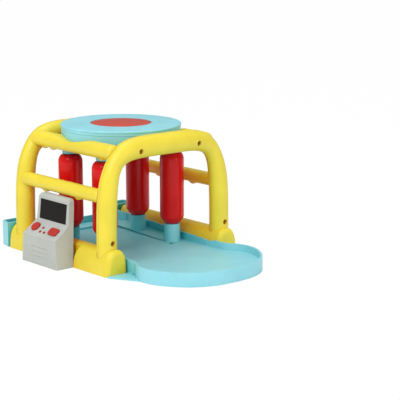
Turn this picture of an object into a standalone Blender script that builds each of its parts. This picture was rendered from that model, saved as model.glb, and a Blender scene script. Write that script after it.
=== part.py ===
"""A toy drive-through car wash: a base tray with a long apron, two hollow arches on moulded side beams,
four upright rollers geared to a dial on the roof, and a button console at one side.
Metres, +Z up. The origin is on the ground under the dial's axis, the apron runs towards -Y
and the console stands at -X."""

import math

import bmesh
import bpy
from mathutils import Matrix, Vector

# Fits shared by all pieces
SEAT_GAP = 0.0003  # between pieces that touch
OVERRUN = 0.002  # how far a cut runs past a face
WALL = 0.0024  # moulded wall
MERGE_DISTANCE = 0.00001  # between points that are one
TURN_STEPS = 32  # sides of a large turned piece
HOLE_STEPS = 16  # sides of a bore
SMALL_STEPS = 8  # sides of a screw
EDGE_STEPS = 3  # stretches of a rounded edge
CORNER_STEPS = 4  # stretches of a rounded corner
SHARP_ANGLE = math.radians(35)
EDGE_ANGLE = math.radians(50)  # edges sharper than this are rounded

# Rollers and their pillars
ROLLER_X = 0.0559
ROLLER_Y = 0.0364
ROLLER_RADIUS = 0.016
ROLLER_BOTTOM = 0.0335
ROLLER_TOP = 0.1300
FOOT_SHOULDER_RADIUS = 0.006
TOP_SHOULDER_WIDTH = 0.0072
TOP_SHOULDER_HEIGHT = 0.0105
SHOULDER_STEPS = 4
AXLE_RADIUS = 0.0025
AXLE_DEPTH = 0.013  # how far the lower stub goes into its pillar
BEARING_GAP = 0.0003
ROLLER_STEPS = 20
PILLAR_RADIUS = 0.0105  # also of the bosses above the rollers
UPPER_BOSS_GAP = 0.0012  # between a roller and the boss above it

# Arches
ARCH_Y = 0.0882
ARCH_HALF_SPAN = 0.093
ARCH_HEIGHT = 0.153
ARCH_TUBE_RADIUS = 0.0127  # of the legs
ARCH_CROWN_SWELL = 0.0012  # how much thicker the tube gets at the crown
ARCH_CORNER_THINNING = 0.0018  # how much thinner it gets at the corners
ARCH_WALL = 0.0024
ARCH_SQUARENESS = 5  # exponent of the superellipse that the centreline follows
ARCH_STEPS = 20
TUBE_RESOLUTION = 4
LEG_FOOT = 0.006
LOW_SCREW_Z = 0.0397
HIGH_SCREW_X = 0.0475
HIGH_SCREW_DROP = 0.0025  # below the centreline
ARCH_BOSS_RADIUS = 0.0042
ARCH_BOSS_INSET = 0.0019  # how far a boss ends below the tube's crown

# Screws
SCREW_HEAD_RADIUS = 0.0029
SCREW_HEAD_HEIGHT = 0.0018
SCREW_SHANK_RADIUS = 0.0014
SCREW_LENGTH = 0.014
HEAD_CLEARANCE = 0.0005
ARCH_SCREW_SINK = 0.0025  # how far an arch screw's head lies below the tube's crown

# Side beams
BEAM_OUTER = 0.1084
BEAM_INNER = 0.0762
BEAM_CREST = 0.0305
BEAM_LENGTH = 0.2168
BEAM_OUTER_SQUARENESS = 2.5  # exponents of the section's two quarter superellipses
BEAM_INNER_SQUARENESS = 3
TOE_LENGTH = 0.0225
TOE_INNER = 0.0755
TOE_CREST = 0.0320
TOE_EDGE_ROUND = 0.005
BEAM_ARC_STEPS = 12
BEAM_SOLID_END = 0.036  # solid end that holds the arch's leg
NICHE_CLEARANCE = 0.0005  # between the console's sides and the beam
NICHE_FLARE = 0.010
NICHE_DEPTH = 0.0084
NICHE_SIDE_SHARES = ((0.0, 0.25), (0.1, 0.42), (0.25, 0.62), (0.5, 0.8), (1.0, 1.0))

# Base tray
TRAY_RIM = 0.018
TRAY_FLOOR = 0.0088
TRAY_WALL = 0.0026
TRAY_FLOOR_THICKNESS = 0.0024
APRON_HALF_WIDTH = 0.088
APRON_REACH = 0.2245
APRON_OUTLINE_SHARES = (
    (0.875, 0.117), (0.966, 0.25), (1.0, 0.383), (0.955, 0.55), (0.83, 0.717),
    (0.682, 0.842), (0.489, 0.933), (0.273, 0.983), (0.0, 1.0),
)
APRON_NECK_SHARE = 0.02  # where the apron leaves the toes
CORNER_FLANGE_THICKNESS = 0.0022
CORNER_FLANGE_REACH = 0.0018  # past the apron's widest place
CORNER_FLANGE_Y = 0.1446
REAR_END = 0.130
REAR_HALF_WIDTH = 0.1045
REAR_CORNER_RADIUS = 0.005
FLANK_HEIGHT = 0.0325
FLANK_INNER = 0.082
REAR_LOW_HALF_WIDTH = 0.055
REAR_RISE_STEPS = 8
SIDE_TOP_MID = 0.0202  # top of the bay's side wall level with the dial's axis
SIDE_TOP_SLOPE_SHARE = 0.05  # its rise towards the rear, per unit of length
BED_FRONT = 0.054
BED_REAR = 0.0995
BED_FRONT_TOP = 0.0086
BED_REAR_TOP = 0.0125
BED_THICKNESS = 0.0046
FOOT_RADIUS = 0.010
FOOT_TOP_DEPTH = 0.003  # how far the foot ends below the bed
PILLAR_ROOT = 0.0023  # how far a pillar goes into the bed
POCKET_LENGTH = 0.010  # the pockets in the side walls beside the pillars
POCKET_HEIGHT = 0.007
POCKET_DEPTH = 0.0016
POCKET_LIFT = 0.0012  # above the bed
POCKET_BACKSET = 0.0015  # from a pillar's axis towards the front

# Lane panel
LANE_HALF_WIDTH = 0.050
LANE_THICKNESS = 0.0020
LANE_GROOVE = 0.0011  # open groove along the panel's sides
LANE_SCREW_X = 0.045
LANE_SCREW_Y = 0.0478
LANE_SCREW_HEAD_RADIUS = 0.0024
LANE_SCREW_LENGTH = 0.0065
LANE_SCREW_RISE = 0.0009  # how far the heads stand above the panel
LANE_BOSS_RADIUS = 0.005

# Rails
RAIL_STEPS = 20
MID_RAIL_X = 0.095
MID_RAIL_RADIUS = 0.0088
MID_RAIL_EDGE_ROUND = 0.003
MID_RAIL_OVERLAP = 0.0065  # how far its ends reach past the legs' surfaces
RAIL_PIN_RADIUS = 0.0035
RAIL_PIN_REACH = 0.0055
CONSOLE_RAIL_GAP = 0.0006  # between the console and the rail behind it
RIGHT_RAIL_DROP = 0.0037  # the right mid rail lies lower than the left one
LUG_Y = 0.035
LUG_RADIUS = 0.0110  # about the rail's axis
LUG_THICKNESS = 0.006
LUG_STEPS = 10
TOP_RAIL_X = 0.0765
TOP_RAIL_Z = 0.1485
TOP_RAIL_RADIUS = 0.0100
TOP_RAIL_EDGE_ROUND = 0.0055
TOP_RAIL_OVERLAP = 0.0105
SCALLOP_HALF_LENGTH = 0.045  # the dip in a top rail beside the bowl
SCALLOP_DEPTH = 0.0055
SCALLOP_STEPS = 12
ROOF_LUG_X = 0.0715
ROOF_LUG_Z = 0.1437
ROOF_LUG_RADIUS = 0.009
ROOF_LUG_THICKNESS = 0.004
ROOF_LUG_INNER_Y = 0.052
ROOF_LUG_OUTER_Y = 0.070

# Roof
GEARBOX_RADIUS = 0.071
GEARBOX_HALF_X = 0.0664
GEARBOX_LOBE_RADIUS = 0.0117  # round each roller's axis
GEARBOX_LOBE_STEPS = 9
GEARBOX_BOTTOM = 0.1366
GEARBOX_TOP = 0.1432
GEARBOX_FLOOR_THICKNESS = 0.0019
GEARBOX_WALL = 0.0015
GEAR_LIFT = 0.0006  # of the gears above the gearbox's floor
ROOF_SCREW_Y = 0.020
ROOF_SCREW_DEPTH = 0.0024  # below the gearbox's top
ROOF_SCREW_HEAD_RADIUS = 0.0021
ROOF_BOSS_HALF_WIDTH = 0.0035
LID_THICKNESS = 0.0022
LID_BORE_RADIUS = 0.035
BOWL_RADIUS = 0.0780
BOWL_RIM_Z = 0.1632
BOWL_BEND_Z = 0.1535  # where its side starts to curve inwards
BOWL_FOOT_RADIUS = 0.0655
BOWL_BEND_STEPS = 6
BOWL_WALL = 0.0022
SPINDLE_RADIUS = 0.008
SPINDLE_TUBE_TOP = 0.158

# Dial
DIAL_RADIUS = 0.0788
DIAL_BOTTOM = 0.1635
DIAL_TOP = 0.1696
DIAL_PLATE = 0.0034
DIAL_EDGE_ROUND = 0.0014
INSET_RADIUS = 0.0397
INSET_THICKNESS = 0.0020
INSET_RING_WIDTH = 0.0018
INSET_RING_HEIGHT = 0.0005

# Gears
GEAR_TEETH = 70
PINION_TEETH = 10
GEAR_THICKNESS = 0.0036
GEAR_ADDENDUM_SHARE = 0.60  # of the module
PINION_ADDENDUM_SHARE = 0.90
DEDENDUM_SHARE = 1.15
TOOTH_BACKLASH_SHARE = 0.06  # of the module, off each side of each tooth
PRESSURE_ANGLE = math.radians(20)

# Console
CONSOLE_FRONT = 0.1335
CONSOLE_BACK_FOOT = 0.1078
CONSOLE_BACK_TOP = 0.1010
CONSOLE_HEIGHT = 0.0868
CONSOLE_HALF_WIDTH = 0.038
CONSOLE_DECK_HALF_WIDTH = 0.0345
CONSOLE_TOP_HALF_WIDTH = 0.033
CONSOLE_WALL = 0.0022
CONSOLE_EDGE_ROUND = 0.0028
DECK_FRONT_Z = 0.0365
DECK_RISE_SHARE = 0.74
DECK_BACK_Z = 0.0478
TOWER_FRONT_X = 0.1120
TOWER_FOOT_Z = 0.0535
TOWER_TOP_X = 0.1090
TOWER_SHOULDER_DROP = 0.0043  # below the console's top
SCREEN_WIDTH = 0.0566
SCREEN_FOOT_MARGIN = 0.0005
SCREEN_TOP_MARGIN = 0.0032
SCREEN_THICKNESS = 0.0008
SCREEN_SINK = 0.0003  # of the film below the tower's face
BACK_PLATE_THICKNESS = 0.0020
CONSOLE_SCREW_Y = 0.022
CONSOLE_SCREW_Z = 0.014
TOWER_SCREW_Y = 0.024
CONSOLE_SCREW_LENGTH = 0.009
TOWER_SCREW_LENGTH = 0.0072
CONSOLE_BOSS_RADIUS = 0.0042
CONSOLE_BOSS_ROOT = 0.0008  # how far a tower boss goes into the wall

# Buttons
ROUND_BUTTON_X = 0.1223
ROUND_BUTTON_Y = 0.0215
ROUND_BUTTON_RADIUS = 0.0065
WIDE_BUTTON_X = 0.1231
WIDE_BUTTON_Y = -0.0185
WIDE_BUTTON_WIDTH = 0.017
WIDE_BUTTON_DEPTH = 0.011
WIDE_BUTTON_CORNER = 0.0028
BUTTON_STEPS = 24
BUTTON_RISE = 0.0026
BUTTON_EDGE_ROUND = 0.0009
BUTTON_FLANGE = 0.0011
BUTTON_FLANGE_THICKNESS = 0.0010
PAD_RADIUS = 0.0016
PAD_STEPS = 12
PAD_RISE = 0.0012
PAD_EDGE_ROUND = 0.0004
PAD_FRONT_X = 0.1267
PAD_REAR_X = 0.1213
PAD_LEFT_Y = 0.0064
PAD_RIGHT_Y = -0.0022

# Derived places
ROLLER_DISTANCE = math.hypot(ROLLER_X, ROLLER_Y)
GEAR_PITCH_RADIUS = ROLLER_DISTANCE * GEAR_TEETH / (GEAR_TEETH + PINION_TEETH)
PINION_PITCH_RADIUS = ROLLER_DISTANCE - GEAR_PITCH_RADIUS
GEAR_MODULE = 2 * GEAR_PITCH_RADIUS / GEAR_TEETH
GEARBOX_FLOOR = GEARBOX_BOTTOM + GEARBOX_FLOOR_THICKNESS
GEAR_BOTTOM = GEARBOX_FLOOR + GEAR_LIFT
GEAR_TOP = GEAR_BOTTOM + GEAR_THICKNESS
LID_BOTTOM = GEARBOX_TOP + SEAT_GAP
LID_TOP = LID_BOTTOM + LID_THICKNESS
ROOF_SCREW_Z = GEARBOX_TOP - ROOF_SCREW_DEPTH
TOE_FRONT = BEAM_LENGTH / 2
TOE_END = TOE_FRONT - TOE_LENGTH
BAY_SIDE = BEAM_INNER - SEAT_GAP
NECK_SIDE = TOE_INNER - SEAT_GAP
CONSOLE_SEAT_X = BEAM_OUTER - NICHE_DEPTH
NICHE_HALF_WIDTH = CONSOLE_HALF_WIDTH + NICHE_CLEARANCE
NICHE_TOP_HALF_WIDTH = NICHE_HALF_WIDTH + NICHE_FLARE
CORNER_FLANGE_X = APRON_HALF_WIDTH + CORNER_FLANGE_REACH
LEG_SURFACE_Y = ARCH_Y - ARCH_TUBE_RADIUS
MID_RAIL_HALF_LENGTH = LEG_SURFACE_Y + MID_RAIL_OVERLAP
TOP_RAIL_HALF_LENGTH = LEG_SURFACE_Y + TOP_RAIL_OVERLAP
TOP_RAIL_CREST = TOP_RAIL_Z + TOP_RAIL_RADIUS
TOWER_SHOULDER_Z = CONSOLE_HEIGHT - TOWER_SHOULDER_DROP
SCREEN_BOTTOM = TOWER_FOOT_Z + SCREEN_FOOT_MARGIN
SCREEN_HEIGHT = TOWER_SHOULDER_Z - SCREEN_BOTTOM - SCREEN_TOP_MARGIN
TOWER_SCREW_Z = SCREEN_BOTTOM + SCREEN_HEIGHT / 2
LEFT_RAIL_Z = CONSOLE_HEIGHT + CONSOLE_RAIL_GAP + MID_RAIL_RADIUS
RIGHT_RAIL_Z = LEFT_RAIL_Z - RIGHT_RAIL_DROP

BLUE = ("sky_blue_plastic", (0.36, 0.69, 0.76), 0.38, 0.0)
YELLOW = ("yellow_plastic", (0.84, 0.65, 0.10), 0.36, 0.0)
RED = ("red_plastic", (0.56, 0.03, 0.035), 0.25, 0.0)
GREY = ("grey_plastic", (0.48, 0.48, 0.46), 0.45, 0.0)
DARK = ("screen_film", (0.02, 0.017, 0.013), 0.30, 0.0)
WHITE = ("white_gear_plastic", (0.80, 0.80, 0.78), 0.45, 0.0)
STEEL = ("screw_steel", (0.32, 0.27, 0.20), 0.35, 1.0)

XZ_PLANE = Matrix(((1, 0, 0, 0), (0, 0, -1, 0), (0, 1, 0, 0), (0, 0, 0, 1)))
YZ_PLANE = Matrix(((0, 0, 1, 0), (1, 0, 0, 0), (0, 1, 0, 0), (0, 0, 0, 1)))
UP = Vector((0, 0, 1))


def clear_scene():
    for obj in list(bpy.data.objects):
        bpy.data.objects.remove(obj, do_unlink=True)


def new_collection(name):
    group = bpy.data.collections.new(name)
    bpy.context.scene.collection.children.link(group)
    return group


def material_of(look):
    name, colour, roughness, metallic = look
    found = bpy.data.materials.get(name)
    if found:
        return found
    made = bpy.data.materials.new(name)
    made.use_nodes = True
    shader = made.node_tree.nodes["Principled BSDF"]
    shader.inputs["Base Color"].default_value = (*colour, 1.0)
    shader.inputs["Roughness"].default_value = roughness
    shader.inputs["Metallic"].default_value = metallic
    return made


def place(obj, look):
    """Puts an object among the parts with its material or, with no look, among the cutters."""
    if look:
        PARTS.objects.link(obj)
        obj.data.materials.append(material_of(look))
    else:
        CUTTERS.objects.link(obj)
        obj.hide_render = True
        obj.display_type = "WIRE"
    return obj


def from_bmesh(name, shape, look):
    mesh = bpy.data.meshes.new(name)
    shape.to_mesh(mesh)
    shape.free()
    return place(bpy.data.objects.new(name, mesh), look)


def box(name, low, high, look=None):
    shape = bmesh.new()
    bmesh.ops.create_cube(shape, size=1)
    low, high = Vector(low), Vector(high)
    bmesh.ops.scale(shape, vec=high - low, verts=shape.verts)
    bmesh.ops.translate(shape, vec=(low + high) / 2, verts=shape.verts)
    return from_bmesh(name, shape, look)


def cylinder(name, radius, start, end, sides, look=None):
    """A round bar from one point to another."""
    start, end = Vector(start), Vector(end)
    along = end - start
    turn = UP.rotation_difference(along).to_matrix().to_4x4()
    shape = bmesh.new()
    bmesh.ops.create_cone(
        shape, cap_ends=True, segments=sides, radius1=radius, radius2=radius, depth=along.length,
        matrix=Matrix.Translation((start + end) / 2) @ turn,
    )
    return from_bmesh(name, shape, look)


def as_mesh(obj):
    """The curve object as a closed mesh object among the cutters."""
    bpy.context.view_layer.update()
    seen = obj.evaluated_get(bpy.context.evaluated_depsgraph_get())
    mesh = bpy.data.meshes.new_from_object(seen)
    mesh.materials.clear()
    shape = bmesh.new()
    shape.from_mesh(mesh)
    bmesh.ops.remove_doubles(shape, verts=shape.verts, dist=MERGE_DISTANCE)
    bmesh.ops.recalc_face_normals(shape, faces=shape.faces)
    shape.to_mesh(mesh)
    shape.free()
    name = obj.name
    bpy.data.objects.remove(obj)
    return place(bpy.data.objects.new(name, mesh), None)


def extruded(name, outline, low, high, look=None, plane=None):
    """A flat outline, extruded from low to high along the normal of its plane."""
    shape = bmesh.new()
    face = shape.faces.new([shape.verts.new((x, y, low)) for x, y in outline])
    raised = bmesh.ops.extrude_face_region(shape, geom=[face])
    corners = [part for part in raised["geom"] if isinstance(part, bmesh.types.BMVert)]
    bmesh.ops.translate(shape, vec=(0, 0, high - low), verts=corners)
    bmesh.ops.recalc_face_normals(shape, faces=shape.faces)
    if plane:
        bmesh.ops.transform(shape, matrix=plane, verts=shape.verts)
    return from_bmesh(name, shape, look)


def turned(name, profile, steps, look=None, closed=False):
    """A profile of radius and height, from the top down its outer side, turned about Z."""
    mesh = bpy.data.meshes.new(name)
    count = len(profile)
    edges = [(i, i + 1) for i in range(count - 1)]
    if closed:
        edges.append((count - 1, 0))
    mesh.from_pydata([(r, 0, z) for r, z in profile], edges, [])
    obj = place(bpy.data.objects.new(name, mesh), look)
    screw = obj.modifiers.new("Turn", "SCREW")
    screw.steps = steps
    screw.render_steps = steps
    screw.use_merge_vertices = True
    screw.merge_threshold = MERGE_DISTANCE
    screw.use_smooth_shade = False
    return obj


def boolean(obj, other, operation):
    modifier = obj.modifiers.new(operation.title(), "BOOLEAN")
    modifier.operation = operation
    modifier.object = other
    modifier.solver = "EXACT"
    return obj


def cut(obj, *cutters):
    for cutter in cutters:
        boolean(obj, cutter, "DIFFERENCE")
    return obj


def join(obj, *others):
    for other in others:
        boolean(obj, other, "UNION")
    return obj


def bevel(obj, width, segments=2):
    modifier = obj.modifiers.new("Rounded edges", "BEVEL")
    modifier.width = width
    modifier.segments = segments
    modifier.limit_method = "ANGLE"
    modifier.angle_limit = EDGE_ANGLE
    return obj


def oval(centre, wide, high, start, end, steps):
    """Points along an ellipse's arc, with angles in degrees."""
    angles = [math.radians(start + (end - start) * i / steps) for i in range(steps + 1)]
    return [(centre[0] + wide * math.cos(a), centre[1] + high * math.sin(a)) for a in angles]


def arc(centre, radius, start, end, steps):
    return oval(centre, radius, radius, start, end, steps)


def rounded_rectangle(half_x, half_y, corner, steps):
    points = []
    for turn, (x, y) in enumerate(((1, 1), (-1, 1), (-1, -1), (1, -1))):
        centre = (x * (half_x - corner), y * (half_y - corner))
        points += arc(centre, corner, 90 * turn, 90 * turn + 90, steps)
    return points


def smooth(points, cuts):
    """Points on a smooth curve through the given ones."""
    padded = [points[0], *points, points[-1]]
    found = []
    for i in range(1, len(padded) - 2):
        a, b, c, d = (Vector(p) for p in padded[i - 1:i + 3])
        for step in range(cuts):
            t = step / cuts
            found.append(
                0.5 * (2 * b + (c - a) * t + (2 * a - 5 * b + 4 * c - d) * t * t
                       + (3 * b - 3 * c + d - a) * t * t * t)
            )
    found.append(Vector(points[-1]))
    return [tuple(p) for p in found]


def inset(points, distance):
    """The outline, run counter-clockwise, moved inwards by one distance all round."""
    found = []
    count = len(points)
    for i in range(count):
        before = (Vector(points[i]) - Vector(points[i - 1])).normalized()
        after = (Vector(points[(i + 1) % count]) - Vector(points[i])).normalized()
        first = Vector((-before.y, before.x))
        second = Vector((-after.y, after.x))
        moved = Vector(points[i]) + (first + second) * distance / (1 + first.dot(second))
        found.append(tuple(moved))
    return found


def mirrored(half):
    """A closed outline from its half at +X, which runs from the front of the middle line to its back."""
    other = [(-x, y) for x, y in reversed(half) if abs(x) > SEAT_GAP]
    return list(half) + other


# Screws

def screw_profile(head_radius, length):
    return (
        (0, 0), (head_radius, 0), (head_radius, -SCREW_HEAD_HEIGHT),
        (SCREW_SHANK_RADIUS, -SCREW_HEAD_HEIGHT), (SCREW_SHANK_RADIUS, -length), (0, -length),
    )


def screw(name, head, outward, length, head_radius=SCREW_HEAD_RADIUS):
    """A pan screw whose head's face is at a point and looks outward."""
    obj = turned(name, screw_profile(head_radius, length), SMALL_STEPS, STEEL)
    obj.location = head
    obj.rotation_mode = "QUATERNION"
    obj.rotation_quaternion = UP.rotation_difference(Vector(outward))
    return obj


def screw_cutter(name, head, outward, length, above, head_radius=SCREW_HEAD_RADIUS):
    """Room for such a screw, with a counterbore that runs out above its head."""
    head, outward = Vector(head), Vector(outward)
    radius = head_radius + HEAD_CLEARANCE
    seat = head - outward * (SCREW_HEAD_HEIGHT + SEAT_GAP)
    bore = cylinder(name, radius, head + outward * above, seat, HOLE_STEPS)
    tip = head - outward * (length + SEAT_GAP)
    hole = cylinder(
        name + "_hole", SCREW_SHANK_RADIUS + SEAT_GAP, seat + outward * SEAT_GAP, tip, SMALL_STEPS,
    )
    return join(bore, hole)


# Arches

def arch_point(turn):
    across, up = math.cos(turn), math.sin(turn)
    power = 2 / ARCH_SQUARENESS
    x = math.copysign(abs(across) ** power, across)
    return ARCH_HALF_SPAN * x, ARCH_HEIGHT * up ** power


def arch_radius(turn):
    """The tube's radius there: thin at the corners, thick at the crown."""
    swell = ARCH_CROWN_SWELL * math.sin(turn) ** 8
    return ARCH_TUBE_RADIUS + swell - ARCH_CORNER_THINNING * math.sin(2 * turn) ** 4


def arch_tube(name, y, grow, foot):
    """A solid bent tube along an arch's centreline, grown by a distance, down to a foot height."""
    start = math.asin((foot / ARCH_HEIGHT) ** (ARCH_SQUARENESS / 2))
    curve = bpy.data.curves.new(name, "CURVE")
    curve.dimensions = "3D"
    curve.bevel_depth = ARCH_TUBE_RADIUS
    curve.bevel_resolution = TUBE_RESOLUTION
    curve.use_fill_caps = True
    spline = curve.splines.new("POLY")
    spline.points.add(ARCH_STEPS)
    for i, point in enumerate(spline.points):
        turn = start + (math.pi - 2 * start) * i / ARCH_STEPS
        x, z = arch_point(turn)
        point.co = (x, y, z, 1)
        point.radius = (arch_radius(turn) + grow) / ARCH_TUBE_RADIUS
    obj = bpy.data.objects.new(name, curve)
    CUTTERS.objects.link(obj)
    return as_mesh(obj)


def arch_screw_places():
    """Level, place across and up, and the tube's radius there, for the right half's screws."""
    power = ARCH_SQUARENESS / 2
    low = math.asin((LOW_SCREW_Z / ARCH_HEIGHT) ** power)
    high = math.acos((HIGH_SCREW_X / ARCH_HALF_SPAN) ** power)
    places = []
    for level, turn, drop in (("low", low, 0), ("high", high, HIGH_SCREW_DROP)):
        x, z = arch_point(turn)
        places.append((level, x, z - drop, arch_radius(turn)))
    return places


def build_arch(end, side):
    """Both half shells of one arch, and their screws. side is -1 at the front and 1 at the rear."""
    y = side * ARCH_Y
    solid = arch_tube(f"{end}_arch_solid", y, 0, LEG_FOOT)
    bores = {half: arch_tube(f"{end}_arch_{half}_bore", y, -ARCH_WALL, LEG_FOOT / 2)
             for half in ("outer", "inner")}
    cut(bores["inner"], bowl_room(f"{end}_arch_bowl_backing", SEAT_GAP + ARCH_WALL))
    thickest = ARCH_TUBE_RADIUS + ARCH_CROWN_SWELL
    reach = ARCH_HALF_SPAN + thickest + OVERRUN
    top = ARCH_HEIGHT + thickest + OVERRUN
    halves = {}
    for half, away in (("outer", side), ("inner", -side)):
        shell = bpy.data.objects.new(f"{end}_arch_{half}", solid.data.copy())
        place(shell, YELLOW)
        seam = y + away * SEAT_GAP / 2
        far = y - away * (thickest + OVERRUN)
        keep = box(
            f"{end}_arch_{half}_seam", (-reach, min(seam, far), 0), (reach, max(seam, far), top),
        )
        cut(shell, bores[half], keep)
        for level, x, z, radius in arch_screw_places():
            boss_end = y + away * (radius - ARCH_BOSS_INSET)
            for hand, sign in (("left", -1), ("right", 1)):
                join(shell, cylinder(
                    f"{end}_arch_{half}_boss_{level}_{hand}", ARCH_BOSS_RADIUS,
                    (sign * x, seam, z), (sign * x, boss_end, z), SMALL_STEPS,
                ))
        halves[half] = shell
    for level, x, z, radius in arch_screw_places():
        for hand, sign in (("left", -1), ("right", 1)):
            head = (sign * x, y + side * (radius - ARCH_SCREW_SINK), z)
            name = f"{end}_arch_screw_{level}_{hand}"
            room = screw_cutter(
                name + "_room", head, (0, side, 0), SCREW_LENGTH, ARCH_SCREW_SINK + OVERRUN,
            )
            for shell in halves.values():
                cut(shell, room)
            screw(name, head, (0, side, 0), SCREW_LENGTH)
    pins = [
        cylinder(
            f"{end}_arch_pin_hole_{hand}", RAIL_PIN_RADIUS + SEAT_GAP,
            (sign * MID_RAIL_X, 0, z),
            (sign * MID_RAIL_X, side * (MID_RAIL_HALF_LENGTH + RAIL_PIN_REACH), z), HOLE_STEPS,
        )
        for hand, sign, z in (("left", -1, LEFT_RAIL_Z), ("right", 1, RIGHT_RAIL_Z))
    ]
    cut(halves["inner"], *pins, bowl_room(f"{end}_arch_bowl_room", SEAT_GAP))


# Side beams

def beam_section(inner, outer, crest, margin=0, low=0):
    """A round-topped upright section in X and Z, moved inwards by a margin, down to a low level."""
    middle = (outer + inner) / 2
    wide = (outer - inner) / 2 - margin
    high = crest - margin
    points = []
    if low:
        points = [(middle - wide, low), (middle + wide, low)]
    for i in range(BEAM_ARC_STEPS + 1):
        turn = math.pi * i / BEAM_ARC_STEPS
        squareness = BEAM_OUTER_SQUARENESS if i <= BEAM_ARC_STEPS / 2 else BEAM_INNER_SQUARENESS
        across = math.copysign(abs(math.cos(turn)) ** (2 / squareness), math.cos(turn))
        points.append((middle + wide * across, high * max(math.sin(turn), 0) ** (2 / squareness)))
    return points


def flipped(points, sign):
    """An outline's X multiplied by a sign, still counter-clockwise."""
    if sign > 0:
        return list(points)
    return [(-x, y) for x, y in reversed(points)]


def build_beam(hand, sign, leg_rooms):
    name = f"{hand}_lower_beam"
    body = flipped(beam_section(BEAM_INNER, BEAM_OUTER, BEAM_CREST), sign)
    buried = -TOE_EDGE_ROUND - OVERRUN
    toe = flipped(beam_section(TOE_INNER, BEAM_OUTER, TOE_CREST, 0, buried), sign)
    hollow = flipped(beam_section(BEAM_INNER, BEAM_OUTER, BEAM_CREST, WALL, -OVERRUN), sign)
    beam = extruded(name, body, -TOE_END - OVERRUN, TOE_END + OVERRUN, YELLOW, XZ_PLANE)
    reach = BEAM_OUTER + OVERRUN
    for end, side in (("front", -1), ("rear", 1)):
        low, high = sorted((side * TOE_END, side * TOE_FRONT))
        block = extruded(f"{name}_{end}_toe", toe, -high, -low, None, XZ_PLANE)
        bevel(block, TOE_EDGE_ROUND, EDGE_STEPS)
        ground = box(f"{name}_{end}_ground", (-reach, -TOE_FRONT - OVERRUN, buried - OVERRUN),
                     (reach, TOE_FRONT + OVERRUN, 0))
        join(beam, cut(block, ground))
    end = TOE_FRONT - BEAM_SOLID_END
    cut(beam, *leg_rooms)
    if hand == "right":
        cut(beam, extruded(f"{name}_hollow", hollow, -end, end, None, XZ_PLANE))
    else:
        near = NICHE_TOP_HALF_WIDTH + WALL
        seat = CONSOLE_SEAT_X - WALL
        narrow = [(max(x, -seat), z) for x, z in hollow]
        cut(
            beam,
            extruded(f"{name}_hollow_front", hollow, near, end, None, XZ_PLANE),
            extruded(f"{name}_hollow_rear", hollow, -end, -near, None, XZ_PLANE),
            extruded(f"{name}_hollow_middle", narrow, -near - OVERRUN, near + OVERRUN, None, XZ_PLANE),
        )
        side = niche_side()
        niche = [*side, *((-y, z) for y, z in reversed(side))]
        low, high = -BEAM_OUTER - OVERRUN, -CONSOLE_SEAT_X
        cut(beam, extruded(f"{name}_niche", niche, low, high, None, YZ_PLANE))
        for label, y in (("front", -CONSOLE_SCREW_Y), ("rear", CONSOLE_SCREW_Y)):
            cut(beam, cylinder(
                f"{name}_screw_hole_{label}", SCREW_SHANK_RADIUS + SEAT_GAP,
                (-CONSOLE_SEAT_X - OVERRUN, y, CONSOLE_SCREW_Z),
                (-CONSOLE_SEAT_X + WALL + OVERRUN, y, CONSOLE_SCREW_Z), SMALL_STEPS,
            ))


def niche_side():
    """The +Y side of the console's niche from below the ground up, flaring towards its top."""
    side = [(NICHE_HALF_WIDTH + NICHE_FLARE * out, TOE_CREST * up) for out, up in NICHE_SIDE_SHARES]
    return [(NICHE_HALF_WIDTH, -OVERRUN), *side, (NICHE_TOP_HALF_WIDTH, TOE_CREST + OVERRUN)]


# Base tray

def apron_half():
    """The apron's right side from where it leaves the toe to the front of the middle line."""
    depth = APRON_REACH - TOE_FRONT
    shares = smooth([(NECK_SIDE / APRON_HALF_WIDTH, APRON_NECK_SHARE), *APRON_OUTLINE_SHARES], 3)
    return [(APRON_HALF_WIDTH * x, -TOE_FRONT - depth * y) for x, y in shares]


def tray_half():
    """The tray's right half in plan, from the front of the middle line round to the rear."""
    corner = (REAR_HALF_WIDTH - REAR_CORNER_RADIUS, REAR_END - REAR_CORNER_RADIUS)
    return [
        *reversed(apron_half()),
        (NECK_SIDE, -TOE_END + SEAT_GAP), (BAY_SIDE, -TOE_END + SEAT_GAP),
        (BAY_SIDE, TOE_END - SEAT_GAP), (NECK_SIDE, TOE_END - SEAT_GAP),
        (NECK_SIDE, TOE_FRONT + SEAT_GAP), (BEAM_OUTER, TOE_FRONT + SEAT_GAP),
        *arc(corner, REAR_CORNER_RADIUS, 0, 90, CORNER_STEPS),
    ]


def side_top(y):
    return SIDE_TOP_MID + SIDE_TOP_SLOPE_SHARE * y


def bed_top(y):
    rise = (BED_REAR_TOP - BED_FRONT_TOP) / (BED_REAR + BED_FRONT)
    return BED_FRONT_TOP + rise * (y + BED_FRONT)


def rear_dip():
    """A cutter's outline in X and Z: the rear wall's low middle and the rises to its flanks."""
    above = FLANK_HEIGHT + OVERRUN
    rise = []
    for step in range(REAR_RISE_STEPS + 1):
        share = step / REAR_RISE_STEPS
        x = REAR_LOW_HALF_WIDTH + (FLANK_INNER - REAR_LOW_HALF_WIDTH) * share
        ease = (1 - math.cos(math.pi * share)) / 2
        rise.append((x, TRAY_RIM + (FLANK_HEIGHT - TRAY_RIM) * ease))
    left = [(-x, z) for x, z in reversed(rise)]
    return [*left, *rise, (FLANK_INNER, above), (-FLANK_INNER, above)]


def bed_prism(name, half_width, drop_top, drop_bottom, front, rear, look=None):
    """A slab across the bay that follows the sloping bed, between two depths below its top."""
    outline = [
        (-front, bed_top(-front) - drop_bottom), (rear, bed_top(rear) - drop_bottom),
        (rear, bed_top(rear) - drop_top), (-front, bed_top(-front) - drop_top),
    ]
    return extruded(name, outline, -half_width, half_width, look, YZ_PLANE)


def roller_places():
    return (
        ("front_left", -ROLLER_X, -ROLLER_Y), ("front_right", ROLLER_X, -ROLLER_Y),
        ("rear_left", -ROLLER_X, ROLLER_Y), ("rear_right", ROLLER_X, ROLLER_Y),
    )


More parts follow.
